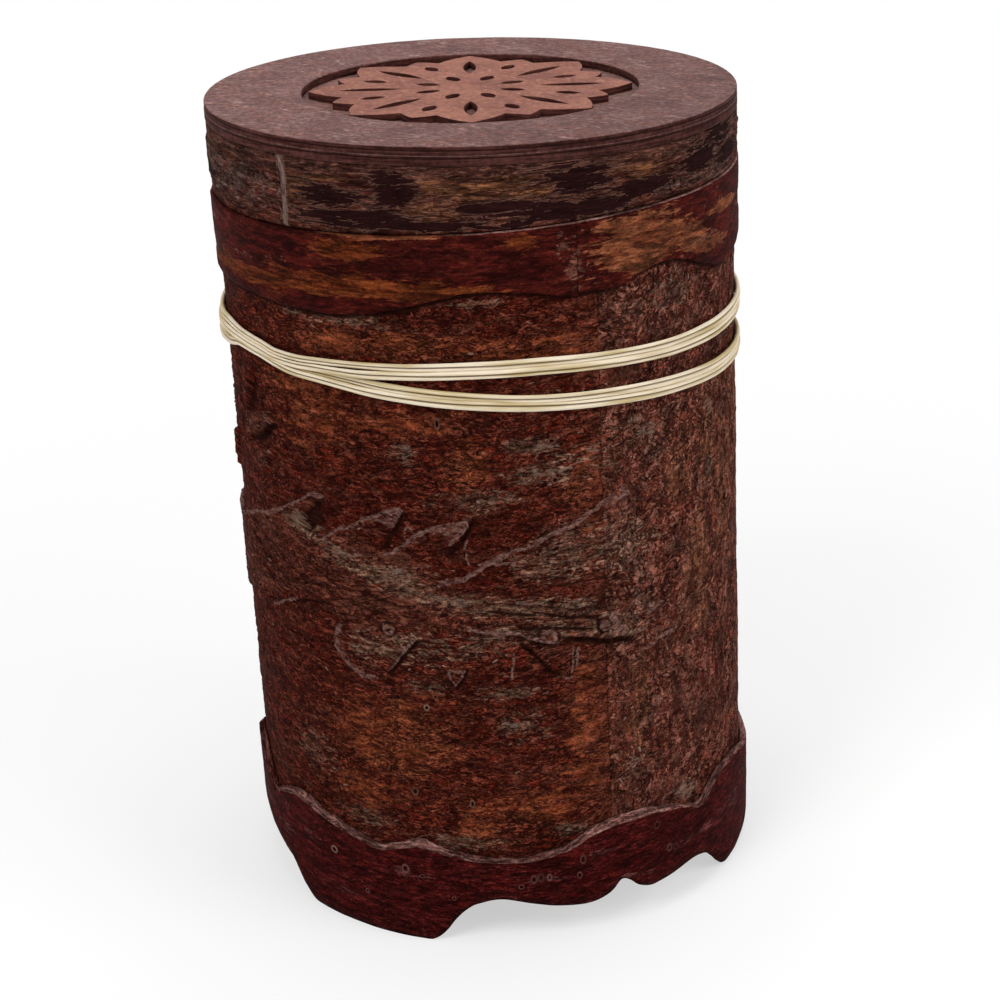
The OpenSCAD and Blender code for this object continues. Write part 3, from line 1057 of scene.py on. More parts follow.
    def carve(self, angle: Array, height: Array, weather: Weather) -> Carved:
        """Works out the carving.

        Args:
            angle: Angle of each point.
            height: Height of each point.
            weather: Noise that makes the outlines hand-cut.

        Returns:
            The rise in millimetres and the fields that the finish reads.
        """
        u, v = np.radians(angle) * self.radius, height
        u = u + self.wander * weather.rough(u / 3.0, v / 3.0, 2)
        v = v + self.wander * weather.rough(u / 3.0 + 40, v / 3.0, 2)
        body = self.inside(self.body, u, v)
        rise, raised = self.body.rise * body, body.copy()
        pale, gap = np.zeros(u.shape), np.zeros(u.shape)
        # Spines rise towards their tips, whose faces turn paler there, partly painted highlight.
        for plate in self.spines:
            share = self.inside(plate, u, v)
            ends = [p[0] for p in self.flat(plate.outline)]
            along = np.clip((u - min(ends)) / (max(ends) - min(ends)), 0.0, 1.0)
            rise = np.maximum(rise, plate.rise * (plate.lean + (1 - plate.lean) * along) * share)
            raised = np.maximum(raised, 0.8 * share)
            pale = np.maximum(pale, plate.face * share * along)
        # Hollows sink and are darkened with painted shade.
        for plate in self.hollows:
            share = self.inside(plate, u, v)
            rise = rise * (1 - share) + plate.rise * share
            gap = np.maximum(gap, plate.lean * share)
        # Ridges rise and turn pale: partly the cut's own colour and partly painted highlight.
        for stroke in self.ridges:
            share = bell(path_distance(u, v, self.flat(stroke.path)), 0.5 * stroke.width)
            rise += stroke.rise * share
            pale = np.maximum(pale, min(1.0, 4.0 * stroke.rise) * share)
        # Eyes and knobs get a pale ring, partly painted highlight, and a dark outline of painted shade.
        for (a, z), size in self.eyes:
            ring = np.hypot(u - math.radians(a) * self.radius, v - z)
            share = bell(ring - size, 0.35)
            rise += 0.4 * share
            pale = np.maximum(pale, 0.8 * share)
            gap = np.maximum(gap, 0.8 * bell(ring - size - 0.7, 0.3))
        for (a, z), size in self.knobs:
            near = np.hypot(u - math.radians(a) * self.radius, v - z) / size
            rise += 0.8 * size * np.sqrt(np.clip(1 - near**2, 0.0, 1.0))
            pale = np.maximum(pale, 0.95 * bell(near - 0.7, 0.3))
            gap = np.maximum(gap, 0.8 * bell(near - 1.2, 0.2))
        # Cuts sink and are darkened with painted shade.
        for stroke in self.cuts:
            share = bell(path_distance(u, v, self.flat(stroke.path)), 0.5 * stroke.width)
            rise += stroke.rise * share
            gap = np.maximum(gap, min(1.0, -2.4 * stroke.rise) * share)
        grown = [s.rise * bell(path_distance(u, v, self.flat(s.path)), s.width) for s in self.moss]
        moss = np.max(grown, axis=0)
        return Carved(rise, raised, pale, gap, moss)


@dataclass
class BarkWall:
    """One of the two rough bark sheets of the box."""

    node: str
    start: float
    end: float
    grain: Grain
    seed: int
    finish: BarkFinish
    ochre: Patches
    lichen: Patches
    crust: Patches
    pores: Patches = ()
    seam_gap: float = 0.08
    fine: Point = (-74.0, 78.0)
    fine_step: float = 0.42
    coarse_step: float = 1.1
    row_step: float = 0.6
    carved: Point = (47.0, 103.0)
    carved_step: float = 0.34
    swell: float = 0.22
    streak: float = 0.24
    pit: float = 0.3
    join: float = 24.5
    join_reach: float = 6.5
    carving_seed: int = 19

    def columns(self) -> Array:
        """Angles of the grid, closer where the front view shows them."""
        trim = math.degrees(self.seam_gap / 2 / Gauge.radii(self.node)[1])
        first, last = self.start + trim, self.end - trim
        marks = [first, *(a for a in self.fine if first < a < last), last]
        shown = [self.fine[0] <= (a + b) / 2 <= self.fine[1] for a, b in zip(marks, marks[1:])]
        return paced(marks, [self.fine_step if near else self.coarse_step for near in shown])

    def rows(self, low: float, top: float) -> Array:
        """Shares of the height at each row, closer where the carving is."""
        paces = (self.row_step, self.carved_step, self.row_step)
        return (paced((low, *self.carved, top), paces) - low) / (top - low)

    def build(self) -> Thing:
        """Makes the sheet with its rough face and carving.

        Returns:
            The piece.
        """
        angle = self.columns()
        inner, outer = Gauge.radii(self.node)
        low = Gauge.heights(self.node)[0]
        top = SLANTS.parting_at(outer * np.sin(np.radians(angle)))
        share = self.rows(low, top.max())
        a = np.broadcast_to(angle[:, None], (len(angle), len(share)))
        z = low + share[None, :] * (top[:, None] - low)
        u = np.radians(a) * outer
        rough = Weather(self.seed).rough
        along, across = (u, z) if self.grain is Grain.ROUND else (z, u)
        rise = self.swell * rough(u / 24.0, z / 20.0, 2)
        rise += self.streak * rough(along / 4.5, across / 0.9 + 11.0, 4, 0.6)
        rise -= self.pit * ease(0.3, 0.75, rough(along / 2.2 + 70.0, across / 1.1, 2))
        cut = Relief(outer).carve(a, z, Weather(self.carving_seed))
        rise = rise * (1 - 0.4 * cut.raised) + cut.rise
        # The gap field is painted shade: darkened pore pits, a painted shadow under the collar's lower edge,
        # a fainter painted shade just above the skirt and the carving's shaded cuts and hollows.
        hole = pitted(self.pores, a, z, outer)
        shadow_under_collar = bell(Gauge.edge("collar_band", Edge.LOW, angle)[:, None] - z, 0.9)
        foot = bell(Gauge.edge("skirt_band", Edge.HIGH, angle)[:, None] + 1.2 - z, 0.7)
        gap = np.max([cut.gap, hole, 0.95 * shadow_under_collar, 0.4 * foot], axis=0)
        lichen = patched(self.lichen, a, z)
        fields = {
            "ochre": patched(self.ochre, a, z),
            "lichen": lichen,
            "raised": cut.raised,
            "pale": cut.pale,
            "gap": gap,
            "moss": cut.moss,
            "crust": patched(self.crust, a, z),
            "joined": bell(turn_between(a, self.join), self.join_reach),
            "chip": 0.2 + np.maximum(lichen, cut.moss) + 0.5 * cut.raised - gap,
        }
        radius = outer + rise - 0.35 * hole + flare(a, z)
        radius[:, -1] = outer - 0.2
        piece = Skin.backed(angle, radius, z, inner, fields).piece(self.node + "_bark")
        return fit(piece, Body.BOX, Slot.ROUGH, self.finish.material(), self.node)


@dataclass
class Collar:
    """Thin bark band glued round the mouth, with a wavy lower edge."""

    finish: BarkFinish
    node: str = "collar_band"
    seam_angle: float = 20.0
    seam_gap: float = 0.1
    step: float = 0.6
    row_step: float = 0.5
    roll: float = 0.25
    bevel: float = 0.3
    seed: int = 21
    ochre: Patches = spots(
        (-27, 124.6, 8, 1.5), (-22, 127.2, 16, 0.5), (-30, 118.8, 20, 1.8), (-12, 118.4, 13, 1.0),
        (-56, 117.4, 16, 1.4), (-74, 117.6, 14, 1.6), (9, 125.6, 3, 1.2), (-8, 117.6, 14, 0.9),
    )
    tan: Patches = spots(
        (36, 121.8, 12.5, 4.6), (31, 126.2, 7, 0.9), (50, 121, 5, 2.4), (58, 118.4, 8, 1.2),
        (64, 123.6, 8, 0.8), (-22, 127.2, 12, 0.5),
    )
    scuffed: Patches = spots(
        (19.5, 121.4, 2.6, 5.2), (16.5, 124.5, 1.6, 2.5), (-45, 121.5, 4, 0.7), (-58, 120.5, 8, 0.5),
        (56, 120.2, 9, 0.7), (62, 125, 10, 0.7), (-80, 124, 8, 1.2),
    )

    def build(self) -> Thing:
        """Makes the band.

        Returns:
            The piece.
        """
        inner, outer = Gauge.radii(self.node)
        angle = round_steps(self.seam_angle, self.seam_gap, outer, self.step)
        low, high = (Gauge.edge(self.node, which, angle) for which in Edge)
        rough = Weather(self.seed).rough
        low = low + 0.22 * rough(angle / 2.6, angle * 0, 3)
        a, z = band_grid(angle, low, high, self.row_step)
        u = np.radians(a) * outer
        hidden = strewn(5, 14, (90, 270), (116, 126), (11, 1.6))
        ochre = patched((*self.ochre, *hidden), a, z)
        wear_and_shade = ease(0.35, 0.6, ochre + 0.5 * rough(u / 5.0, z / 0.9, 4))
        rise = 0.07 * rough(u / 6.0 + 30, z / 0.7, 3) + 0.12 * rough(u / 30.0, z / 9.0, 2)
        lip = self.roll * (1 - ease(0.0, 0.7, z - low[:, None]))
        radius = outer + rise - 0.12 * wear_and_shade - lip
        radius[:, -1] -= self.bevel
        z[:, -2] = z[:, -1] - self.bevel
        turn = turn_between(angle, 0.0)
        # A pale line along the top cut edge from just left of the front round the right side: partly the
        # cut's own colour and partly painted highlight.
        pale = np.zeros(a.shape)
        pale[:, -1] = ease(-16.0, 2.0, turn) * (1 - ease(140.0, 178.0, turn))
        fields = {
            "ochre": ochre,
            "tan": patched(self.tan, a, z),
            "scuffed": patched(self.scuffed, a, z),
            "pale": pale,
        }
        skin = Skin.backed(angle, radius, z, inner, fields)
        skin.fields["pale"][:, -2] = pale[:, -1]
        return fit(skin.piece("collar_bark"), Body.BOX, Slot.COLLAR, self.finish.material(), self.node)


@dataclass
class Skirt:
    """Smooth bark band round the foot, scalloped above and arched below."""

    finish: BarkFinish
    node: str = "skirt_band"
    seam_angle: float = 152.0
    seam_gap: float = 0.1
    step: float = 0.6
    row_step: float = 0.55
    tuck: float = 0.55
    tuck_height: float = 2.6
    cut_sheet: float = 60.0
    seed: int = 33
    scuffed: Patches = spots(
        (40, 12.2, 3.6, 1.2), (46, 11.6, 4, 1), (52, 11.8, 4, 1.2), (58, 11.8, 4.4, 1.8),
        (65, 12, 5, 2.4), (72, 14, 4, 2.4), (30, 9.5, 6, 0.9), (8, 12.5, 6, 0.8), (-21, 13, 6, 0.8),
        (-62, 12, 5, 1.4), (-40, 6, 8, 0.8), (22, 16, 6, 0.7), (-50, 14.5, 5, 0.8),
    )
    pores: Patches = ()
    bevel: Keys = (
        (-160, 0.8), (-134, 1.3), (-110, 0.8), (-82, 1.6), (-66, 0.9), (-52, 1.5), (-30, 0.8),
        (-20, 1.4), (0, 0.6), (26, 1.3), (36, 1.0), (49, 0.4), (60, 0.4), (76, 0.5), (94, 0.8),
        (122, 1.4),
    )

    def build(self) -> Thing:
        """Makes the band with its slanted pale cut along the top.

        Returns:
            The piece.
        """
        inner, outer = Gauge.radii(self.node)
        angle = round_steps(self.seam_angle - FULL_TURN, self.seam_gap, outer, self.step)
        low, high = (Gauge.edge(self.node, which, angle) for which in Edge)
        rough = Weather(self.seed).rough
        low = np.maximum(low, 0.0)
        high = high + 0.2 * rough(angle / 2.2, angle * 0, 4)
        a, z = band_grid(angle, low, high, self.row_step)
        u = np.radians(a) * outer
        rise = 0.16 * rough(u / 26.0, z / 12.0, 2) + 0.07 * rough(u / 5.0, z / 0.7, 4)
        tuck = self.tuck * (1 - ease(0.0, self.tuck_height, z - low[:, None])) ** 2
        hole = pitted(self.pores, a, z, outer)
        wide = flare(angle, 10.0 + 0 * angle)[:, None]
        radius = outer + rise - tuck - 0.3 * hole + wide
        slope = 0.8 * through(self.bevel, angle) + 0.3 * rough(angle / 3.0, angle * 0 + 9, 3)
        cut_share = np.array([0.0, 0.3, 0.7, 1.0])
        cut_r = radius[:, -1:] + (inner + 0.02 + wide - radius[:, -1:]) * cut_share[None, :]
        cut_z = high[:, None] + slope[:, None] * cut_share[None, :] ** 0.85
        under = np.repeat(inner + wide, 2, axis=1)
        under_z = np.stack([high, low + 0.2], -1)
        hidden = strewn(6, 12, (80, 285), (6, 18), (10, 1.6))
        scuffed = patched((*self.scuffed, *hidden), a, z)
        # The bevel's pale cut face is partly its own colour and partly painted highlight; it fades towards
        # the left side as painted shade.
        wear_and_shade = np.repeat(1 - 0.55 * ease(56.0, 70.0, -angle)[:, None], len(cut_share), axis=1)
        blank = np.zeros((len(angle), len(cut_share) + 2))
        fields = {
            "pale": np.concatenate([np.zeros(a.shape), wear_and_shade, under * 0], 1),
            # Painted shade along the tucked lower edge and in the pore pits.
            "gap": np.concatenate([np.maximum(tuck / self.tuck, hole), blank], 1),
            "scuffed": np.concatenate([scuffed, blank], 1),
        }
        skin = Skin(
            angle,
            np.concatenate([radius, cut_r, under], 1),
            np.concatenate([z, cut_z, under_z], 1),
            fields=fields,
            laid=np.concatenate([z, cut_r * 0 + self.cut_sheet + 0.3 * cut_share[None, :], under_z], 1),
        )
        return fit(skin.piece("skirt_bark"), Body.BOX, Slot.SKIRT, self.finish.material(), self.node)


@dataclass
class LidRim:
    """Bark hoop of the lid, with a flaking dark skin and a butt seam."""

    finish: BarkFinish
    node: str = "lid_rim"
    seam_angle: float = -43.0
    seam_gap: float = 0.2
    step: float = 0.6
    row_step: float = 0.45
    seed: int = 47
    crust: float = 0.22
    dark: Patches = spots(
        (-30, 133, 9, 1.7), (-15.5, 134.6, 5, 3), (-24, 130, 13, 1.4), (3, 131.4, 7.5, 1.1),
        (21, 134.6, 7.5, 2.6), (22, 130.2, 17, 1.5), (53, 133.4, 7, 2.6), (62, 135.8, 8, 2.0),
        (36, 131.6, 9, 1.4), (-8, 128.7, 30, 0.8), (66, 132, 8, 2),
    )
    ochre: Patches = spots(
        (0, 135.2, 13, 1.9), (-10, 130.8, 7, 1.4), (9, 133.4, 5, 3), (33, 136, 11, 1.6),
        (36, 133.6, 5, 1.1), (-39, 133.6, 3, 2), (11, 130, 4, 0.8), (-33, 136, 7, 0.8),
    )
    flaky: Patches = spots(
        (22, 133.4, 6, 0.7), (41, 130.6, 4, 1), (55, 132.6, 8, 2.4), (62, 130, 8, 1.4),
        (66, 135, 8, 1.6), (-55, 133, 12, 4), (-72, 133, 12, 4), (50, 130.4, 8, 1.2),
    )
    sanded: float = 3.4
    seat: float = 0.15
    plies: float = 3.1
    knot: Point = (-15.5, 134.2)
    hidden: tuple[Point, Point] = ((80, 285), (129, 137))

    def build(self) -> Thing:
        """Makes the hoop.

        Returns:
            The piece.
        """
        inner, outer = Gauge.radii(self.node)
        angle = round_steps(self.seam_angle, self.seam_gap, outer, self.step)
        x = outer * np.sin(np.radians(angle))
        low, high = SLANTS.parting_at(x) + self.seat, SLANTS.top_at(x) - self.plies
        rough = Weather(self.seed).rough
        a, z = band_grid(angle, low, high, self.row_step)
        u = np.radians(a) * outer
        dark = patched((*self.dark, *strewn(8, 16, *self.hidden, (10, 1.9))), a, z)
        flake = ease(0.4, 0.6, dark + 0.55 * rough(u / 4.0, z / 0.9, 4))
        rise = self.crust * flake + 0.16 * rough(u / 4.0 + 50, z / 0.9, 4)
        rise += 0.15 * rough(u / 28, z / 9, 2)
        knot = np.hypot(arc_between(a, self.knot[0], outer), z - self.knot[1])
        rise += 0.3 * bell(knot - 1.9, 0.6) - 0.35 * bell(knot, 1.1)
        rise -= 0.25 * bell(arc_between(a, self.seam_angle, outer), 0.7)
        smooth = 1 - ease(0.6, self.sanded, high[:, None] - z + 1.3 * rough(u / 8.0, z / 1.6 + 7, 3))
        radius = outer - 0.1 + rise * (1 - 0.85 * smooth) - 0.3 * (1 - ease(0.0, 0.6, z - low[:, None]))
        fields = {
            "dark": dark,
            "ochre": patched((*self.ochre, *strewn(9, 10, *self.hidden, (10, 1.6))), a, z),
            "lichen": patched((*self.flaky, *strewn(10, 8, *self.hidden, (9, 2))), a, z),
            "pale": bell(arc_between(a, self.seam_angle + 1.0, outer), 1.1),
            "sanded": smooth,
        }
        skin = Skin.backed(angle, radius, z, inner, fields)
        return fit(skin.piece("lid_rim_bark"), Body.LID, Slot.LID, self.finish.material(), self.node)


# Inner pieces and lid top

def slab(
    inside: float, outside: float, low: float, high: float, soft: float, count: int, groove: float
) -> list[Point]:
    """Profile of a flat ring or disc with rounded edges.

    Args:
        inside: Inner radius, 0 for a disc.
        outside: Outer radius.
        low: Height of the underside.
        high: Height of the upper side.
        soft: Size of the rounded edges.
        count: Number of points over each flat side.
        groove: Height of a fine groove round the outside.

    Returns:
        Radii and heights, up the outside, in over the top and back below.
    """
    arc = [math.radians(a) for a in (-90, -60, -30, 0)]
    made = [(outside - soft + soft * math.cos(a), low + soft + soft * math.sin(a)) for a in arc]
    made += [(outside, groove - 0.16), (outside - 0.25, groove), (outside, groove + 0.16)]
    made += [(outside - soft + soft * math.cos(a), high - soft - soft * math.sin(a)) for a in reversed(arc)]
    edge = soft if inside else 0.0
    made += [(float(r), high) for r in np.linspace(outside - soft, inside + edge, count)[1:]]
    if inside:
        made += [(inside, high - soft), (inside, low + soft), (inside + soft, low)]
        made += [(float(r), low) for r in np.linspace(inside + soft, outside - soft, count)[1:-1]]
    else:
        made += [(float(r), low) for r in np.linspace(0.0, outside - soft, count)[:-1]]
    return made


def weld(piece: Thing, distance: float = 0.002) -> None:
    """Joins the corners of a piece that lie within a distance, in millimetres."""
    mesh = bmesh.new()
    mesh.from_mesh(piece.data)
    bmesh.ops.remove_doubles(mesh, verts=mesh.verts, dist=distance * MM)
    bmesh.ops.dissolve_degenerate(mesh, edges=mesh.edges, dist=distance * MM)
    mesh.to_mesh(piece.data)
    mesh.free()


@dataclass
class LidPly:
    """One of the two round plies of the lid's top."""

    node: str
    body_depth: float
    thick: float
    inside: float
    finish: PlyFinish
    seed: int
    soft: float
    groove: float
    columns: int = 400
    across: int = 22
    uneven: float = 0.12

    def build(self) -> Thing:
        """Makes the ply, tilted with the lid's top.

        Returns:
            The piece.
        """
        outside = Gauge.radii(self.node)[1]
        low, high = -self.body_depth - self.thick, -self.body_depth
        profile = np.array(slab(self.inside, outside, low, high, self.soft, self.across, self.groove))
        reach, level = profile[None, :, 0], profile[:, 1]
        angle = np.arange(self.columns) * FULL_TURN / self.columns
        a = np.radians(angle)[:, None]
        rough = Weather(self.seed).rough
        grow = self.uneven * rough(np.sin(a) * 4 + 9, np.cos(a) * 4 + 9, 4)
        radius = reach + (grow - 0.08) * ease(outside - 3.0, outside, reach)
        x, y = radius * np.sin(a), -radius * np.cos(a)
        bumps = 0.05 * rough(x / 5.0 + 60, y / 5.0 + 60, 4)
        height = SLANTS.top_at(x) + level + np.where(level > high - 0.01, bumps, 0.0)
        # Side walls are marked for the darker edge colour, partly painted shade.
        side = (level < high - 0.5 * self.soft) & (level > low + 0.05)
        joint = np.abs(level - self.groove) < 0.01
        masks = {"rim": side, "joint": joint}
        fields = {key: np.broadcast_to(mask.astype(float), radius.shape) for key, mask in masks.items()}
        # Painted shade field: 0 at the back left, rising to 1 at the front right.
        fields["wear_and_shade"] = np.clip(0.5 + (x - y) / (2 * outside), 0.0, 1.0)
        skin = Skin(angle, radius, height, False, fields)
        piece = solid(self.node + "_ply", skin.corners(), skin.faces(), None, skin.fields)
        weld(piece)
        return fit(piece, Body.LID, Slot.PLY, self.finish.material(), self.node)


@dataclass
class Liner:
    """Inner tube that stands up inside the lid, with a rounded lip and a glued seam."""

    finish: BarkFinish
    node: str = "inner_liner"
    seam_angle: float = 172.0
    step: float = 1.2
    lip: float = 0.5
    rows: int = 60
    seed: int = 61

    def build(self) -> Thing:
        """Makes the tube.

        Returns:
            The piece.
        """
        inner, outer = Gauge.radii(self.node)
        low, high = Gauge.heights(self.node)
        angle = steps(self.seam_angle - FULL_TURN + 0.1, self.seam_angle - 0.1, self.step)
        rise = np.linspace(low, high - self.lip, self.rows)
        arc = np.radians([30.0, 60.0, 90.0])
        middle, half = (inner + outer) / 2, (outer - inner) / 2
        lip_r = np.concatenate([middle + half * np.cos(arc), middle - half * np.cos(arc[:-1][::-1])])
        lip_z = high - self.lip + self.lip * np.concatenate([np.sin(arc), np.sin(arc[:-1][::-1])])
        radius = np.concatenate([np.full(self.rows, outer), lip_r, np.full(self.rows, inner)])
        height = np.concatenate([rise, lip_z, rise[::-1]])
        r = np.broadcast_to(radius[None, :], (len(angle), len(radius)))
        z = np.broadcast_to(height[None, :], r.shape)
        u = np.radians(angle)[:, None] * outer
        rough = Weather(self.seed).rough
        grain = 0.05 * rough(u / 1.2, z / 14.0, 3)
        skin = Skin(angle, r + np.where(r < middle, grain, 0.3 * grain), z, True)
        return fit(skin.piece("liner_tube"), Body.BOX, Slot.INNER, self.finish.material(), self.node)


@dataclass
class Base:
    """Floor of the box, which stays as its solid with a bark finish."""

    finish: BarkFinish
    node: str = "base_disc"

    def build(self) -> Thing:
        """Dresses the disc.

        Returns:
            The piece.
        """
        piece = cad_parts[self.node]
        made = self.finish.material()
        if not piece.material_slots:
            piece.data.materials.append(made)
        for place in piece.material_slots:
            place.material = made
        log.info("%s keeps its solid", piece.name)
        return piece


@dataclass
class Rosette:
    """Cut bark rosette in the lid's recess, with softened edges."""

    finish: PlyFinish
    node: str = "lid_rosette"
    soft: float = 0.12

    def build(self) -> Thing:
        """Makes a softened copy of the rosette's solid.

        Returns:
            The piece.
        """
        rough = added("rosette_rough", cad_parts[self.node].data.copy())
        weld(rough)
        bevel = rough.modifiers.new("soft_edges", "BEVEL")
        bevel.width = self.soft * MM
        bevel.segments = 2
        bevel.limit_method = "ANGLE"
        bevel.angle_limit = math.radians(40)
        piece = settled(rough, "rosette_cut")
        # Steep cut walls are marked for the darker edge colour, painted shade on the cuts.
        side = np.array([float(abs(face.normal.z) < 0.6) for face in piece.data.polygons], np.float32)
        piece.data.attributes.new("rim", "FLOAT", "FACE").data.foreach_set("value", side)
        return fit(piece, Body.LID, Slot.ROSETTE, self.finish.material(), self.node)


# Raffia

@dataclass
class Ribbon:
    """Folded strip of raffia along a path, in millimetres."""

    path: Array
    out: Array
    width: Array
    thick: Array
    fold: Array
    roll: Array

    def mesh(self) -> tuple[Array, list[list[int]], Array, Array]:
        """Sweeps the folded strip.

        Returns:
            Corners in metres, faces, sheet coordinates and a field of painted shade along the crease and on
            the underside.
        """
        way = np.gradient(self.path, axis=0)
        way /= np.linalg.norm(way, axis=1, keepdims=True)
        out = self.out - way * np.sum(self.out * way, 1, keepdims=True)
        out /= np.linalg.norm(out, axis=1, keepdims=True)
        side = np.cross(way, out)
        turn = self.roll[:, None]
        face, across = out * np.cos(turn) + side * np.sin(turn), side * np.cos(turn) - out * np.sin(turn)
        top = np.linspace(-0.5, 0.5, 11)
        under = np.linspace(0.5, -0.5, 6)[1:-1]
        s = np.concatenate([top, under])[None, :]
        upper = np.concatenate([np.ones(11), np.zeros(4)])[None, :]
        crease = bell(s - self.fold[:, None], 0.1) * upper
        crown = (1 - (2 * np.abs(s)) ** 4 * 0.9) * 0.5
        rise = np.where(upper > 0, crown - 0.55 * crease, -0.42 * (1 - (2 * np.abs(s)) ** 4 * 0.6))
        co = (
            self.path[:, None, :]
            + across[:, None, :] * (s * self.width[:, None])[..., None]
            + face[:, None, :] * (rise * self.thick[:, None])[..., None]
        )
        n, m = co.shape[:2]
        faces = [
            [i * m + j, i * m + (j + 1) % m, (i + 1) * m + (j + 1) % m, (i + 1) * m + j]
            for i in range(n - 1)
            for j in range(m)
        ]
        faces += [list(range(m - 1, -1, -1)), list(range((n - 1) * m, n * m))]
        length = np.concatenate([[0.0], np.cumsum(np.linalg.norm(np.diff(self.path, axis=0), axis=1))])
        u = np.broadcast_to(length[:, None], (n, m))
        v = np.broadcast_to(s, (n, m)) * self.width[:, None]
        shade = np.maximum(crease, (1 - upper) * 0.6)
        return co.reshape(-1, 3) * MM, faces, np.stack([u, v], -1).reshape(-1, 2) * MM, shade.ravel()


def bundle(name: str, ribbons: Sequence[Ribbon]) -> Thing:
    """Makes one piece of several ribbons.

    Args:
        name: Name of the piece.
        ribbons: The ribbons.

    Returns:
        The piece.
    """
    corners, faces, sheets, shades, start = [], [], [], [], 0
    for k, ribbon in enumerate(ribbons):
        co, quads, sheet, shade = ribbon.mesh()
        corners.append(co)
        faces += [[i + start for i in face] for face in quads]
        sheets.append(sheet + np.array([0.0, 0.01 * k]))
        shades.append(shade)
        start += len(co)
    # The fold field carries the painted shade of creases and undersides.
    fields = {"fold": np.concatenate(shades)}
    return solid(name, np.concatenate(corners), faces, np.concatenate(sheets), fields)


@dataclass
class RaffiaTie:
    """Raffia wound four times round the box and knotted at the back."""

    finish: RaffiaFinish = field(default_factory=RaffiaFinish)
    gap: float = 0.12
    thick: float = 0.85
    turns: int = 4
    step: float = 1.25
    knot_angle: float = 140.0
    shift_span: float = 50.0
    climb_span: float = 29.0
    lift: float = 1.1
    tail: float = 13.0
    tail_steps: int = 26
    knot_size: float = 1.55
    tail_leans: tuple[float, ...] = (-62.0, -18.0)
    seed: int = 73
    upper: Keys = (
        (-120, 105.4), (-95, 105.1), (-80, 105.2), (-70, 105.7), (-62, 105.6), (-54, 105.3),
        (-48, 104.7), (-43, 104.65), (-36, 104.9), (-30, 105), (-20, 105.1), (0, 105.5), (10, 105.45),
        (20, 105.1), (30, 104.6), (45, 103.9), (65, 103.6), (110, 104.1), (180, 105.9),
    )
    lower: Keys = (
        (-130, 101.8), (-95, 103), (-80, 103.2), (-70, 103.8), (-62, 104.7), (-54, 104.5), (-48, 103.8),
        (-43, 103.3), (-36, 103.1), (-30, 102.7), (-20, 101.7), (0, 100.15), (10, 99.4), (20, 98.75),
        (30, 98.2), (45, 97.3), (65, 96.4), (110, 95.7), (180, 98.9),
    )
    width: Keys = (
        (-130, 1.5), (-95, 1.6), (-80, 1.6), (-70, 1.5), (-62, 1.1), (-48, 1.05), (-36, 1.2),
        (-20, 1.45), (0, 1.55), (30, 1.6), (65, 1.75), (110, 1.6), (180, 1.5),
    )

    def lane(self, wound: Array) -> Array:
        """Lane from the top at an angle of winding from the knot."""
        turn = np.floor(wound / FULL_TURN)
        rest = wound - FULL_TURN * turn
        joined = np.where(turn == 0, 0.0, (1 - ease(0.0, self.shift_span, rest)) / 2)
        moved = ease(FULL_TURN - self.shift_span, FULL_TURN, rest) / 2
        leaving = np.where(turn == self.turns - 1, 0.0, moved)
        return turn - joined + leaving

    def lane_height(self, lane: Array, angle: Array) -> Array:
        """Height of a lane at an angle."""
        half = 0.46 * through(self.width, angle)
        high, low = through(self.upper, angle) + half, through(self.lower, angle) + half
        between = high - 2 * half + (low - high + 2 * half) * (lane - 1)
        below = np.where(lane >= 2, low - (lane - 2) * 2 * half, between)
        return np.where(lane <= 1, high - lane * 2 * half, below)

    def knot_place(self) -> tuple[float, float]:
        """Radius and height of the knot's middle."""
        top = float(self.lane_height(np.array([0.5]), np.array([self.knot_angle]))[0])
        return Gauge.radii("front_wall")[1] + self.gap + 1.8, top + 4.0

    def winding(self) -> Ribbon:
        """The long strand, from the knot round the box and back up to it.

        Returns:
            The ribbon.
        """
        wall = Gauge.radii("front_wall")[1]
        knot_r, knot_h = self.knot_place()
        last = self.turns * FULL_TURN - self.climb_span
        wound = steps(1.5, last, self.step)
        angle = self.knot_angle + wound
        lane = self.lane(wound)
        rough = Weather(self.seed).rough
        height = self.lane_height(lane, angle) + 0.1 * rough(wound / 40.0, wound * 0, 3)
        width = through(self.width, angle) * (1 + 0.12 * rough(wound / 25.0, wound * 0 + 8, 3))
        pinch = ease(2.2, 1.2, through(self.upper, angle) - through(self.lower, angle) - width)
        stack = 0.5 * pinch * (np.round(lane) % 2) + 0.16 * rough(wound / 18.0, wound * 0 + 21, 2)
        radius = wall + self.gap + self.thick / 2 + stack
        start = 1 - ease(0.0, self.shift_span * 0.7, wound)
        radius = radius * (1 - start) + knot_r * start
        height = height * (1 - start) + knot_h * start
        rising = ease(last - 20.0, last, wound)
        radius = radius + self.lift * rising
        climb = np.linspace(0.0, math.pi / 2, 26)[1:]
        c_angle = self.knot_angle - self.climb_span * (1 - np.sin(climb))
        c_height = height[-1] + (knot_h - 0.6 - height[-1]) * (1 - np.cos(climb))
        c_radius = radius[-1] + (knot_r - radius[-1]) * (1 - np.cos(climb)) ** 2
        angle = np.concatenate([angle, c_angle])
        radius, height = np.concatenate([radius, c_radius]), np.concatenate([height, c_height])
        width = np.concatenate([width, np.full(len(climb), width[-1] * 0.85)])
        a = np.radians(angle)
        out = np.stack([np.sin(a), -np.cos(a), np.zeros(len(a))], -1)
        path = out * radius[:, None]
        path[:, 2] = height
        along = np.arange(len(a)) * self.step
        fold = 0.22 * rough(along / 60.0, along * 0 + 31, 2)
        roll = 0.42 * rough(along / 38.0, along * 0 + 47, 3)
        return Ribbon(path, out, width, np.full(len(a), self.thick), fold, roll)

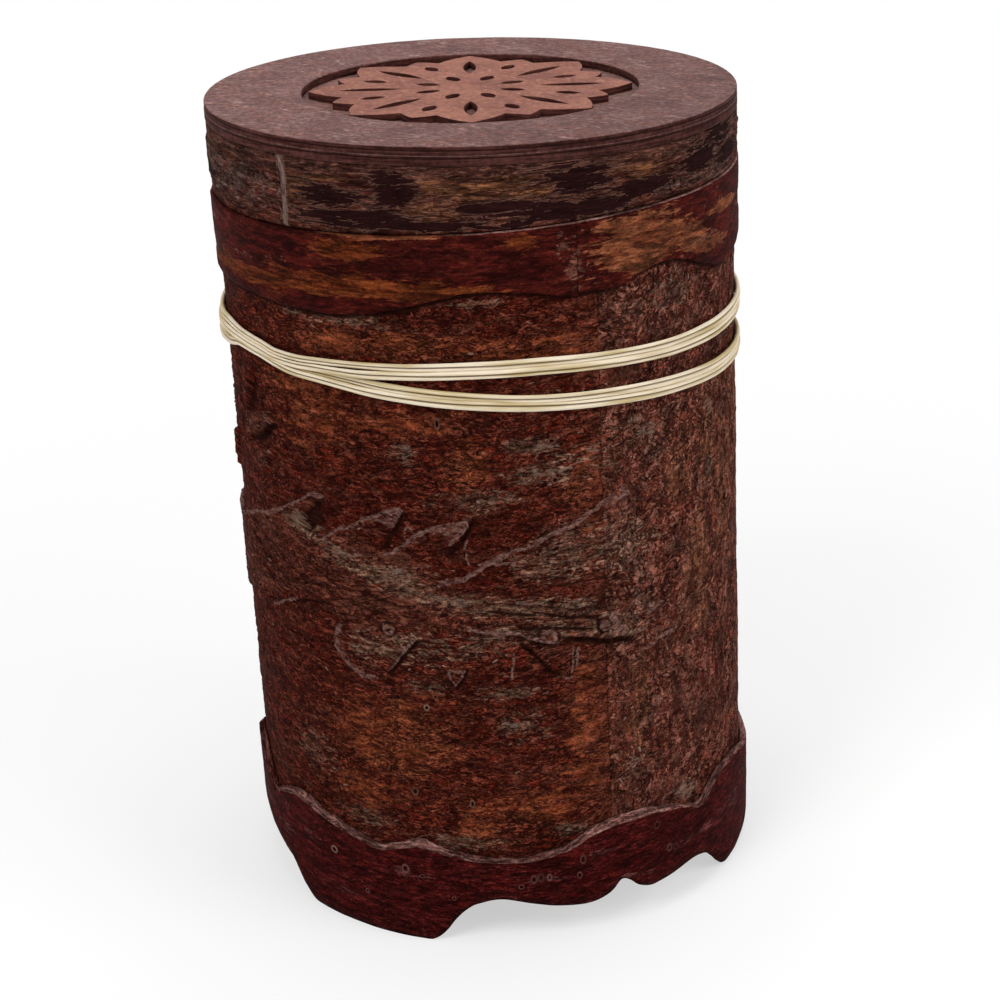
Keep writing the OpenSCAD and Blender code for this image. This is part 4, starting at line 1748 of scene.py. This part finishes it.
    def knot(self) -> list[Ribbon]:
        """The tight overhand knot and its two free ends.

        Returns:
            The ribbons.
        """
        knot_r, knot_h = self.knot_place()
        a = math.radians(self.knot_angle)
        out = np.array([math.sin(a), -math.cos(a), 0.0])
        side, up = np.array([math.cos(a), math.sin(a), 0.0]), np.array(UP)
        centre = out * knot_r + up * knot_h
        t = np.linspace(0.0, 2 * math.pi, 90)
        s = self.knot_size / 2.4
        loop = (
            side * (s * (np.sin(t) + 2 * np.sin(2 * t)))[:, None]
            + up * (s * 0.85 * (np.cos(t) - 2 * np.cos(2 * t)))[:, None]
            - out * (0.75 * np.sin(3 * t))[:, None]
        )
        count = len(t)
        made = [
            Ribbon(
                centre + loop,
                out + 0.5 * loop / self.knot_size,
                np.full(count, 1.25),
                np.full(count, 0.8),
                np.zeros(count),
                0.5 * np.sin(2 * t),
            )
        ]
        for k, lean in enumerate(self.tail_leans):
            share = np.linspace(0.0, 1.0, self.tail_steps)
            tilt = math.radians(lean)
            way = side * math.sin(tilt) + up * math.cos(tilt)
            droop = 2.2 * share**2 * (1 - 0.6 * k)
            path = centre + way * (share * self.tail)[:, None] + out * (0.9 * np.sin(share * 2.4))[:, None]
            path = path - up * droop[:, None]
            outs, thick = np.tile(out, (len(share), 1)), np.full(len(share), 0.55)
            made.append(Ribbon(path, outs, 1.4 - 0.9 * share**3, thick, 0.1 * np.sin(4 * share), 1.6 * share))
        return made

    def build(self) -> list[Thing]:
        """Makes the winding and the knot.

        Returns:
            The two pieces.
        """
        material = self.finish.material()
        tie = bundle("raffia_winding", [self.winding()])
        knot = bundle("raffia_knot_ends", self.knot())
        return [
            fit(tie, Body.BOX, Slot.RAFFIA, material, "raffia_tie"),
            fit(knot, Body.BOX, Slot.RAFFIA, material, "raffia_knot"),
        ]


# Small repeated pieces

class Bench(Wiring):
    """Wires one Geometry Nodes tree and turns its result into a plain piece."""

    def __init__(self, name: str) -> None:
        """Starts a tree that takes and gives geometry."""
        super().__init__(bpy.data.node_groups.new(name, "GeometryNodeTree"))
        self.name = name
        self.settings: dict[str, object] = {}
        for way in ("INPUT", "OUTPUT"):
            self.tree.interface.new_socket("Geometry", in_out=way, socket_type="NodeSocketGeometry")
        self.start = self.put("NodeGroupInput")

    def ask(self, name: str, kind: str, value: object) -> Socket:
        """Adds a named input with its value.

        Args:
            name: Name of the input.
            kind: Kind of its socket.
            value: Value that the piece gets.

        Returns:
            The socket inside the tree.
        """
        made = self.tree.interface.new_socket(name, in_out="INPUT", socket_type=kind)
        self.settings[made.identifier] = value
        return next(socket for socket in self.start.outputs if socket.identifier == made.identifier)

    def own(self, name: str, kind: str) -> Socket:
        """A named attribute of the points."""
        made = self.put("GeometryNodeInputNamedAttribute", {"Name": name}, data_type=kind)
        return next(socket for socket in made.outputs if socket.name == "Attribute" and socket.enabled)

    def facing(self, out: Socket, along: Socket) -> Socket:
        """Turn that points Z outwards and X along the grain."""
        kind = "FunctionNodeAlignRotationToVector"
        up = self.put(kind, {"Vector": out}, axis="Z")
        feeds = {"Rotation": up.outputs[0], "Vector": along}
        return self.put(kind, feeds, axis="X", pivot_axis="Z").outputs[0]

    def across(self, out: Socket) -> Socket:
        """Level direction across an outward one."""
        return self.put("ShaderNodeVectorMath", {0: UP, 1: out}, operation="CROSS_PRODUCT").outputs[0]

    def copies(self, points: Socket, thing: Socket, turn: Socket, size: Socket, seed: int) -> Socket:
        """Sets copies of a thing on points, each with a tone of its own.

        Args:
            points: The points.
            thing: What is copied.
            turn: Turn of each copy.
            size: Size of each copy along its axes.
            seed: Fixed seed of the tones.

        Returns:
            The socket of the copies.
        """
        feeds = {"Points": points, "Instance": thing, "Rotation": turn, "Scale": size}
        made = self.put("GeometryNodeInstanceOnPoints", feeds)
        tone = self.put("FunctionNodeRandomValue", {"Seed": seed}, data_type="FLOAT")
        feeds = {"Geometry": made.outputs[0], "Name": "tone", "Value": tone.outputs[1]}
        settings = {"domain": "INSTANCE", "data_type": "FLOAT"}
        return self.put("GeometryNodeStoreNamedAttribute", feeds, **settings).outputs[0]

    def piece(self, source: Thing, shown: Socket, finish: Material) -> Thing:
        """Ends the tree and makes the plain piece.

        Args:
            source: Object that carries the points or faces, removed afterwards.
            shown: Socket of the finished instances.
            finish: Material of the piece.

        Returns:
            The piece.
        """
        coat = self.ask("Finish", "NodeSocketMaterial", finish)
        real = self.put("GeometryNodeRealizeInstances", {"Geometry": shown})
        soft = self.put("GeometryNodeSetShadeSmooth", {"Geometry": real.outputs[0]})
        dressed = self.put("GeometryNodeSetMaterial", {"Geometry": soft.outputs[0], "Material": coat})
        self.put("NodeGroupOutput", {0: dressed.outputs[0]})
        made = source.modifiers.new(self.name, "NODES")
        made.node_group = self.tree
        for key, value in self.settings.items():
            made[key] = value
        return settled(source, self.name)


@dataclass(frozen=True)
class FlakeFinish:
    """Crumbs of bark, each in its own tone."""

    name: str
    dark: RGB
    body: RGB
    pale: RGB

    def material(self) -> Material:
        """Builds the finish's nodes.

        Returns:
            The material.
        """
        p = Paint(self.name, Source.SOLID)
        tone = p.value("tone")
        grit = p.noise((0.7, 0.7, 0.7), 0.0, 3.0, 0.65)
        colour = p.mix(p.step(tone, 0.1, 0.55), self.dark, self.body)
        colour = p.mix(p.step(tone, 0.6, 1.0), colour, self.pale)
        colour = p.shade(colour, p.step(grit, 0.3, 0.7), 0.6, 1.35)
        return p.close(colour, p.scaled(grit, 0.6, 0.9), p.bump(grit, 0.12, 0.8), 0.03)


@dataclass
class BarkFlakes:
    """Crumbs of outer bark that stand up from a wall, strewn along its grain."""

    wall: Thing
    grain: Grain
    finish: FlakeFinish
    seed: int
    density: float = 0.085
    small: Triple = (0.28, 0.12, 0.05)
    large: Triple = (0.85, 0.3, 0.16)

    def build(self) -> Thing:
        """Strews the crumbs over the wall.

        Returns:
            The piece.
        """
        source = added("strewing", self.wall.data.copy())
        bench = Bench(self.wall.name + "_flakes")
        density = bench.ask("Density", "NodeSocketFloat", self.density / MM**2)
        seed = bench.ask("Seed", "NodeSocketInt", self.seed)
        small = bench.ask("Smallest", "NodeSocketVector", tuple(s * MM for s in self.small))
        large = bench.ask("Largest", "NodeSocketVector", tuple(s * MM for s in self.large))
        chip = bench.own("chip", "FLOAT")
        spread = bench.put("ShaderNodeMath", {0: chip, 1: density}, operation="MULTIPLY", use_clamp=False)
        feeds = {"Mesh": bench.start.outputs[0], "Density": spread.outputs[0], "Seed": seed}
        points = bench.put("GeometryNodeDistributePointsOnFaces", feeds)
        out = points.outputs["Normal"]
        crumb = bench.put("GeometryNodeMeshIcoSphere", {"Radius": 1.0, "Subdivisions": 1})
        feeds = {0: small, 1: large, "Seed": seed}
        size = bench.put("FunctionNodeRandomValue", feeds, data_type="FLOAT_VECTOR")
        if self.grain is Grain.UPRIGHT:
            along = bench.put("FunctionNodeInputVector", vector=UP).outputs[0]
        else:
            along = bench.across(out)
        askew = bench.put("FunctionNodeRandomValue", {2: -0.7, 3: 0.7, "Seed": 8}, data_type="FLOAT")
        spin = bench.put("FunctionNodeAxisAngleToRotation", {"Axis": UP, "Angle": askew.outputs[1]})
        feeds = {"Rotation": bench.facing(out, along), "Rotate By": spin.outputs[0]}
        turn = bench.put("FunctionNodeRotateRotation", feeds, rotation_space="LOCAL").outputs[0]
        shown = bench.copies(points.outputs["Points"], crumb.outputs[0], turn, size.outputs[0], 9)
        coat = self.finish.material()
        piece = bench.piece(source, shown, coat)
        return fit(piece, Body.BOX, Slot.ROUGH, coat)


@dataclass
class PoreRings:
    """Raised lips of the bark's pores on one sheet."""

    sheet: Thing
    pores: Patches
    slot: Slot
    finish: FlakeFinish
    lip: float = 0.34
    inside: float = 0.84
    reach: float = 0.5
    skin: float = 0.7

    def build(self) -> Thing:
        """Sets a lip round every pore.

        Returns:
            The piece.
        """
        co = Gauge.corners(self.sheet.data)
        around = np.degrees(np.arctan2(co[:, 0], -co[:, 1]))
        radius = np.hypot(co[:, 0], co[:, 1])
        corners, out, size = [], [], []
        for pore in self.pores:
            half = (pore.half_angle, pore.half_height)
            near = np.hypot(arc_between(around, pore.angle, radius), co[:, 2] - pore.height)
            local = radius[near < self.reach + max(half)]
            r = np.median(local[local > local.max() - self.skin])
            a = math.radians(pore.angle)
            way = (math.sin(a), -math.cos(a), 0.0)
            corners.append((way[0] * r, way[1] * r, pore.height))
            out.append(way)
            size.append((self.inside * half[0], self.inside * half[1], 0.5 * min(half)))
        source = solid("pore_points", np.array(corners) * MM, [])
        for key, values in (("out", out), ("size", np.array(size) * MM)):
            attribute = source.data.attributes.new(key, "FLOAT_VECTOR", "POINT")
            attribute.data.foreach_set("vector", np.array(values, np.float32).ravel())
        bench = Bench(self.sheet.name + "_pores")
        lip = bench.ask("Lip", "NodeSocketFloat", self.lip)
        path = bench.put("GeometryNodeCurvePrimitiveCircle", {"Resolution": 14, "Radius": 1.0})
        round_lip = bench.put("GeometryNodeCurvePrimitiveCircle", {"Resolution": 6, "Radius": lip})
        feeds = {"Curve": path.outputs[0], "Profile Curve": round_lip.outputs[0]}
        ring = bench.put("GeometryNodeCurveToMesh", feeds)
        facing = bench.own("out", "FLOAT_VECTOR")
        turn, wide = bench.facing(facing, bench.across(facing)), bench.own("size", "FLOAT_VECTOR")
        shown = bench.copies(bench.start.outputs[0], ring.outputs[0], turn, wide, 5)
        coat = self.finish.material()
        piece = bench.piece(source, shown, coat)
        return fit(piece, Body.BOX, self.slot, coat)


# Studio

@dataclass(frozen=True)
class Lamp:
    """One soft area light."""

    name: str
    place: Triple
    size: float
    power: float


@dataclass
class Studio:
    """Pale floor, soft light and the camera at the photograph's angle."""

    target: Triple = (1.72, 0.0, 65.05)
    eye: Triple = (1.72, -367.9, 215.7)
    roll: float = -0.0475
    lens: float = 78.4
    sensor: float = 36.0
    floor_size: float = 8.0
    floor_colour: RGB = (0.94, 0.94, 0.94)
    whiten: tuple[float, float, float, float] = (0.06, 0.3, 0.55, 1.0)
    ambient: float = 0.38
    lamps: tuple[Lamp, ...] = (
        Lamp("key_light", (-330.0, -420.0, 620.0), 360.0, 2.7),
        Lamp("fill_light", (480.0, -260.0, 420.0), 420.0, 1.7),
        Lamp("top_light", (30.0, 120.0, 720.0), 420.0, 1.7),
    )

    def camera(self) -> None:
        """Sets the camera."""
        data = bpy.data.cameras.new("camera")
        data.sensor_fit = "HORIZONTAL"
        data.sensor_width = self.sensor
        data.lens = self.lens
        data.clip_start = 0.01
        eye, target = Vector(self.eye) * MM, Vector(self.target) * MM
        ahead = (target - eye).normalized()
        right = ahead.cross(Vector(UP)).normalized()
        up = right.cross(ahead)
        tilted = right * math.cos(self.roll) + up * math.sin(self.roll)
        above = up * math.cos(self.roll) - right * math.sin(self.roll)
        turn = Matrix((tilted, above, -ahead)).transposed()
        made = added("camera", data)
        made.matrix_world = Matrix.Translation(eye) @ turn.to_4x4()
        bpy.context.scene.camera = made

    def lights(self) -> None:
        """Sets the lamps, each aimed at the middle of the box."""
        for lamp in self.lamps:
            data = bpy.data.lights.new(lamp.name, "AREA")
            data.shape = "DISK"
            data.size = lamp.size * MM
            data.energy = lamp.power
            made = added(lamp.name, data)
            place = Vector(lamp.place) * MM
            made.location = place
            made.rotation_euler = (Vector(self.target) * MM - place).to_track_quat("-Z", "Y").to_euler()

    @staticmethod
    def seen(wiring: Wiring) -> Socket:
        """Socket that is 1 for rays that show the background: camera, gloss and glass."""
        rays = wiring.put("ShaderNodeLightPath").outputs
        shown = rays["Is Camera Ray"]
        for key in ("Is Glossy Ray", "Is Transmission Ray"):
            shown = wiring.put("ShaderNodeMath", {0: shown, 1: rays[key]}, operation="MAXIMUM").outputs[0]
        return shown

    def backdrop(self) -> None:
        """Makes the world white to the camera and softer to the object."""
        world = bpy.data.worlds.new("pale_room")
        world.use_nodes = True
        room = Wiring(world.node_tree)
        soft = room.put("ShaderNodeBackground", {"Color": WHITE, "Strength": self.ambient})
        white = room.put("ShaderNodeBackground", {"Color": WHITE})
        feeds = {0: self.seen(room), 1: soft.outputs[0], 2: white.outputs[0]}
        mixed = room.put("ShaderNodeMixShader", feeds)
        room.put("ShaderNodeOutputWorld", {0: mixed.outputs[0]})
        bpy.context.scene.world = world

    def floor(self) -> None:
        """Makes the pale floor, which keeps the object's shadow."""
        half = self.floor_size / 2
        corners = np.array([[-half, -half, 0], [half, -half, 0], [half, half, 0], [-half, half, 0]], float)
        piece = solid("floor", corners, [[0, 1, 2, 3]])
        p = Paint("pale_floor")
        matt = p.put("ShaderNodeBsdfDiffuse", {"Color": self.floor_colour})
        glow = p.put("ShaderNodeEmission")
        place = p.put("ShaderNodeTexCoord").outputs["Object"]
        far = p.put("ShaderNodeVectorMath", {0: place}, operation="LENGTH").outputs["Value"]
        feeds = dict(zip(("Value", "From Min", "From Max", "To Min", "To Max"), (far, *self.whiten)))
        white = p.put("ShaderNodeMapRange", feeds, interpolation_type="SMOOTHSTEP")
        share = p.part(self.seen(p), white.outputs[0])
        mixed = p.put("ShaderNodeMixShader", {0: share, 1: matt.outputs[0], 2: glow.outputs[0]})
        p.put("ShaderNodeOutputMaterial", {0: mixed.outputs[0]})
        piece.data.materials.append(p.material)

    def build(self) -> None:
        """Sets up the whole studio."""
        bpy.context.scene.view_settings.view_transform = "Standard"
        self.camera()
        self.backdrop()
        self.lights()
        self.floor()
        log.info("studio is set")


# The box

FIGURE_COATS = (
    Coat("joined", (0.075, 0.0155, 0.0082), (0.18, 0.05, 0.029), (2.4, 2.4), 2.6, 0.4, 0.62, 0.75),
    Coat("raised", (0.04, 0.011, 0.0064), (0.19, 0.066, 0.042), (3.0, 0.8), 3.0, 0.3, 0.8, 0.6),
    Coat("moss", (0.066, 0.03, 0.018), (0.28, 0.165, 0.112), (2.6, 0.7), 3.6, 0.2, 0.76, 0.84),
    Coat("crust", (0.08, 0.044, 0.031), (0.21, 0.14, 0.108), (1.6, 0.6), 3.6, 0.16, 1.0, 0.7, over=True),
    # gap coat: painted shade in the carving's cuts and hollows, under the collar, above the skirt and in pore
    # pits.
    Coat("gap", (0.009, 0.0022, 0.0014), (0.024, 0.006, 0.004), (2.0, 1.0), 1.6, 0.25, 0.5, 0.9, over=True),
    # pale coat: the carving's lighter cut lines, partly their own colour and partly painted highlight.
    Coat("pale", (0.072, 0.027, 0.021), (0.28, 0.152, 0.128), (0.9, 0.6), 1.4, 0.22, 0.48, 0.88, over=True),
)
FRONT_FINISH = BarkFinish(
    "front_bark", (0.03, 0.0034, 0.002), (0.122, 0.0136, 0.0062), (0.21, 0.062, 0.038), (4.5, 1.2),
    (
        Coat("ochre", (0.11, 0.021, 0.0075), (0.22, 0.054, 0.021), (6.0, 2.2), 2.8, 0.42),
        Coat("lichen", (0.042, 0.019, 0.011), (0.2, 0.118, 0.08), (2.0, 0.7), 3.6, 0.25, 0.76, 0.75),
        *FIGURE_COATS,
    ),
    grain=(1.1, 0.6), dull=(0.1, 0.033, 0.02), dull_cover=0.38,
)
BACK_FINISH = BarkFinish(
    "back_bark", (0.044, 0.0094, 0.0062), (0.2, 0.045, 0.027), (0.3, 0.148, 0.108), (1.8, 4.4),
    (
        Coat("ochre", (0.095, 0.025, 0.011), (0.22, 0.08, 0.04), (1.4, 3.4), 3.2, 0.4, 0.6, 0.85),
        Coat("lichen", (0.05, 0.024, 0.016), (0.2, 0.12, 0.088), (1.6, 1.2), 3.6, 0.25, 0.76, 0.65),
        *FIGURE_COATS,
    ),
    grain=(0.9, 0.9), contrast=(0.6, 1.42), gleam=0.2, fleck_mark=(1.1, 0.9), crack_mark=(2.8, 2.0),
    dull=(0.14, 0.058, 0.038), dull_cover=0.5, blotch=(0.62, 1.4), blotch_mark=(3.2, 6.0),
)
COLLAR_FINISH = BarkFinish(
    "collar_bark", (0.027, 0.0024, 0.0018), (0.066, 0.0062, 0.0043), (0.11, 0.03, 0.017), (8.0, 0.8),
    (
        Coat("ochre", (0.07, 0.012, 0.003), (0.13, 0.03, 0.008), (9.0, 1.0), 2.2, 0.08),
        Coat("tan", (0.1, 0.025, 0.01), (0.2, 0.065, 0.028), (9.0, 1.4), 2.0, 0.08),
        Coat("scuffed", (0.06, 0.018, 0.012), (0.15, 0.066, 0.046), (2.0, 1.3), 3.6, 0.12, 0.94, 0.7),
        # pale coat: the top cut edge, partly its own colour and partly painted highlight.
        Coat("pale", (0.17, 0.08, 0.066), (0.3, 0.17, 0.15), (3.0, 1.0), 0.5, 0.15),
    ),
    grain=(1.4, 0.5), contrast=(0.62, 1.42), gleam=0.12, fleck_mark=(2.2, 0.35), fleck_cut=0.64,
    fleck_cover=0.4, crack=(0.012, 0.002, 0.0015), crack_cover=0.5, depth=0.16, gloss=0.03,
    crack_mark=(6.0, 1.0), lit_cover=0.2, blotch=(0.56, 1.46), blotch_mark=(7.0, 1.6),
)
SKIRT_FINISH = BarkFinish(
    "skirt_bark", (0.024, 0.0016, 0.0014), (0.07, 0.0052, 0.0044), (0.12, 0.026, 0.022), (6.0, 0.9),
    (
        # gap coat: painted shade along the lower edge and in pore pits.
        Coat("gap", (0.01, 0.0015, 0.0015), (0.02, 0.002, 0.002), (6.0, 1.0), 0.8, 0.35, 0.55, 0.8),
        Coat("scuffed", (0.05, 0.014, 0.012), (0.14, 0.056, 0.05), (3.0, 0.5), 3.6, 0.1, 0.95, 0.6),
        # pale coat: the bevel's cut face, partly its own colour and partly painted highlight.
        Coat("pale", (0.1, 0.037, 0.03), (0.29, 0.152, 0.128), (4.0, 0.4), 1.5, 0.3, 0.52, 0.95),
    ),
    grain=(1.1, 0.45), contrast=(0.5, 1.52), gleam=0.16, fleck_mark=(1.8, 0.35), fleck_cut=0.64,
    fleck_cover=0.4, crack=(0.01, 0.0012, 0.001), crack_cover=0.7, depth=0.2, gloss=0.02,
    crack_mark=(3.6, 0.9), lit_cover=0.36, blotch=(0.56, 1.48), blotch_mark=(5.0, 1.2),
)
LID_FINISH = BarkFinish(
    "lid_bark", (0.032, 0.009, 0.006), (0.112, 0.029, 0.0185), (0.2, 0.1, 0.074), (9.0, 0.8),
    (
        Coat("ochre", (0.08, 0.026, 0.012), (0.17, 0.066, 0.03), (8.0, 0.9), 2.6, 0.1),
        Coat(
            "dark", (0.006, 0.0009, 0.0012), (0.02, 0.0042, 0.005), (6.0, 0.8), 3.4, 0.06, 0.58, 0.96,
            lip=0.12, over=True,
        ),
        Coat("lichen", (0.036, 0.017, 0.013), (0.16, 0.098, 0.08), (2.0, 1.6), 3.2, 0.22, 0.76, 0.78),
        Coat("sanded", (0.058, 0.019, 0.014), (0.125, 0.05, 0.038), (9.0, 0.5), 1.4, 0.3, 0.5, 0.8),
        Coat("pale", (0.1, 0.052, 0.041), (0.27, 0.17, 0.14), (0.8, 2.4), 1.0, 0.15, 0.5, over=True),
    ),
    grain=(2.8, 0.5), contrast=(0.66, 1.42), gleam=0.12, fleck_cover=0.28, crack_cover=0.72, lit_cover=0.36,
    crack_mark=(6.0, 1.0), blotch=(0.54, 1.5), blotch_mark=(8.0, 1.5),
)
LINER_FINISH = BarkFinish(
    "liner_bark", (0.1, 0.035, 0.018), (0.19, 0.08, 0.042), (0.26, 0.13, 0.08), (0.9, 12.0),
    grain=(0.6, 4.0), contrast=(0.7, 1.25), gleam=0.0, fleck_mark=(0.5, 3.0), fleck_cover=0.5,
    crack=(0.05, 0.017, 0.01), crack_cover=0.4, depth=0.12, crack_mark=(0.7, 9.0), speck=(0.85, 1.15),
)
BASE_FINISH = BarkFinish(
    "base_bark", (0.09, 0.03, 0.016), (0.17, 0.068, 0.036), (0.24, 0.12, 0.075), (7.0, 0.9),
    grain=(1.6, 0.6), contrast=(0.7, 1.25), gleam=0.0, fleck_mark=(1.5, 0.5), fleck_cover=0.5,
    crack=(0.05, 0.017, 0.01), crack_cover=0.4, source=Source.SOLID, depth=0.12, crack_mark=(5.0, 0.8),
)
RING_FINISH = PlyFinish(
    "ring_ply", (0.118, 0.06, 0.057), (0.18, 0.1, 0.093), (0.34, 0.22, 0.19), (0.16, 0.066, 0.055)
)
UNDER_FINISH = PlyFinish("under_ply", (0.12, 0.06, 0.052), (0.18, 0.098, 0.086), (0.28, 0.18, 0.155))
ROSETTE_FINISH = PlyFinish(
    "rosette_bark", (0.172, 0.07, 0.054), (0.265, 0.115, 0.083), (0.37, 0.185, 0.13), (0.22, 0.09, 0.074),
    turn=60.0, grit=(0.8, 1.2), depth=0.06,
)

FRONT_FLAKES = FlakeFinish(
    "front_flakes", (0.016, 0.0035, 0.002), (0.085, 0.026, 0.016), (0.19, 0.105, 0.077)
)
BACK_FLAKES = FlakeFinish("back_flakes", (0.026, 0.008, 0.005), (0.12, 0.045, 0.03), (0.22, 0.13, 0.1))
SKIRT_PORES = FlakeFinish("skirt_pores", (0.045, 0.012, 0.01), (0.075, 0.024, 0.02), (0.15, 0.074, 0.064))
WALL_PORES = FlakeFinish("wall_pores", (0.045, 0.014, 0.009), (0.085, 0.034, 0.024), (0.15, 0.08, 0.06))

SKIRT_PORE_PLACES = spots(
    (-60, 16.6, 0.6, 0.8), (-42, 13.7, 0.8, 0.7), (-24.6, 13.5, 0.5, 0.8), (-22.9, 14, 0.7, 0.9),
    (-19, 13, 0.5, 0.4), (2.8, 11.5, 0.5, 0.5), (5.6, 12.8, 0.55, 0.85), (7.1, 13, 0.55, 0.9),
    (9, 12.9, 0.4, 0.7), (15.7, 12.4, 0.45, 0.7), (16.6, 15.4, 0.55, 0.9), (35, 17.8, 0.7, 0.8),
    (38.5, 12.2, 0.6, 0.8), (40.5, 11.6, 0.6, 0.6), (-33, 7.6, 0.4, 0.5), (-12, 9.2, 0.4, 0.4),
    (112, 13, 0.6, 0.8), (121, 15.5, 0.6, 0.7), (150, 10, 0.5, 0.8), (178, 14, 0.7, 0.8),
    (-172, 12, 0.5, 0.6), (-140, 15, 0.6, 0.8), (-118, 10, 0.6, 0.6), (-96, 13.6, 0.5, 0.8),
)
WALL_PORE_PLACES = spots(
    (-10, 96.5, 0.45, 1.1), (-16, 45.5, 0.5, 0.6), (-20, 29, 0.6, 0.8), (-7, 27.4, 0.4, 0.8),
    (-14, 47.6, 0.4, 0.5), (14, 85.6, 0.6, 0.6), (13.6, 92.4, 0.7, 0.5), (-112, 44, 0.6, 0.8),
    (-128, 61, 0.6, 0.7), (-145, 37, 0.5, 0.9),
)
FRONT_OCHRE = spots(
    (-26, 38, 12, 6.5), (-38, 96, 9, 4.5), (-20, 44.5, 8, 2), (20.5, 46, 4, 9), (6, 26, 12, 3),
    (-32, 27, 7, 2.4), (21, 84, 4, 6), (-15, 96, 8, 2), (20, 34, 5, 6), (-45, 100, 8, 2.4),
    (-25, 109, 20, 2), (8, 108, 16, 2), (-4, 89, 4, 4), (-6, 22.5, 5, 2),
)
FRONT_LICHEN = spots(
    (-48, 32, 7, 4), (-33, 22, 7, 1.6), (-10, 19.6, 10, 1.5), (15, 21, 5, 1.6), (9, 92, 6, 1.8),
    (-17.5, 91.5, 3, 2), (-1, 83, 9, 2), (10, 87, 7, 2), (-20, 69.5, 8, 2.6), (-10, 65.6, 5, 1.2),
    (11, 63, 8, 1.8), (17, 73, 9, 4), (-47, 75.5, 4, 1.6), (-19, 71, 3, 2), (-26, 113, 9, 1.4),
    (0, 116, 6, 0.9), (4, 42, 6, 3), (2, 48.5, 7, 1.4), (-16, 49.5, 6, 1.2), (-40, 113, 6, 1.6),
)
BACK_OCHRE = spots(
    (46, 82, 4, 7), (57, 84, 4, 9), (32, 42, 3, 9), (52, 62, 4, 12), (66, 74, 5, 14),
)
BACK_LICHEN = spots(
    (46, 21, 5, 2.4), (33, 112, 4, 2), (44, 113, 7, 3), (57, 79.5, 2, 2.4), (33, 92, 3, 3),
    (38, 87, 2.4, 1.8), (30, 30, 3, 3), (34, 62, 4, 4), (30, 72, 5, 6),
)
FRONT_CRUST = spots(
    (-46, 76, 2.4, 1.4), (-33, 72.4, 3, 0.9), (-19.5, 70.2, 3.4, 1.3), (-12.5, 66.2, 3.4, 0.8),
    (-7.5, 65.4, 3.6, 1.1), (17, 63.4, 4, 1), (6, 64.8, 4, 0.7), (12, 91.6, 4, 0.8), (14, 87, 6, 1),
    (-32, 114.4, 6, 1), (-42, 113, 4, 0.8), (-17.2, 91, 2.6, 2), (15, 21.4, 5, 1), (26, 71.6, 3, 1.2),
    (3, 42, 4, 1.2), (-13, 20.4, 5, 0.7), (-104, 62, 6, 1.6), (-138, 84, 6, 1.6),
)
BACK_CRUST = spots(
    (57, 79.4, 1.6, 2.2), (46, 20.6, 4, 1.4), (31, 31, 2.4, 1.4), (58, 90, 2, 3), (37, 58.6, 4, 1),
    (36, 91, 3, 1.6), (120, 70, 4, 3), (160, 40, 4, 4),
)


def main() -> None:
    """Builds the studio and every piece of the box."""
    logging.basicConfig(level=logging.INFO, format="%(name)s: %(message)s")
    Studio().build()
    hidden_ochre = strewn(1, 14, (-165, -90), (25, 115), (9, 5))
    hidden_lichen = strewn(2, 18, (-165, -90), (22, 115), (7, 2.4))
    rear_ochre = strewn(3, 20, (72, 190), (25, 115), (5, 8))
    rear_lichen = strewn(4, 24, (72, 190), (22, 115), (4, 4))
    front = BarkWall(
        "front_wall", -167.0, 24.5, Grain.ROUND, 11, FRONT_FINISH,
        (*FRONT_OCHRE, *hidden_ochre), (*FRONT_LICHEN, *hidden_lichen), FRONT_CRUST, WALL_PORE_PLACES,
    ).build()
    back = BarkWall(
        "back_wall", 24.5, 193.0, Grain.UPRIGHT, 12, BACK_FINISH,
        (*BACK_OCHRE, *rear_ochre), (*BACK_LICHEN, *rear_lichen), BACK_CRUST,
    ).build()
    BarkFlakes(front, Grain.ROUND, FRONT_FLAKES, 3).build()
    BarkFlakes(back, Grain.UPRIGHT, BACK_FLAKES, 4).build()
    PoreRings(front, WALL_PORE_PLACES, Slot.ROUGH, WALL_PORES).build()
    Collar(COLLAR_FINISH).build()
    skirt = Skirt(SKIRT_FINISH, pores=SKIRT_PORE_PLACES).build()
    PoreRings(skirt, SKIRT_PORE_PLACES, Slot.SKIRT, SKIRT_PORES).build()
    Liner(LINER_FINISH).build()
    Base(BASE_FINISH).build()
    RaffiaTie().build()
    LidRim(LID_FINISH).build()
    LidPly("lid_under_disc", 1.4, 1.6, 0.0, UNDER_FINISH, seed=81, soft=0.1, groove=-1.85).build()
    LidPly("lid_top_ring", 0.0, 1.4, 28.5, RING_FINISH, seed=82, soft=0.18, groove=-0.66).build()
    Rosette(ROSETTE_FINISH).build()


if __name__ == "__main__":
    main()
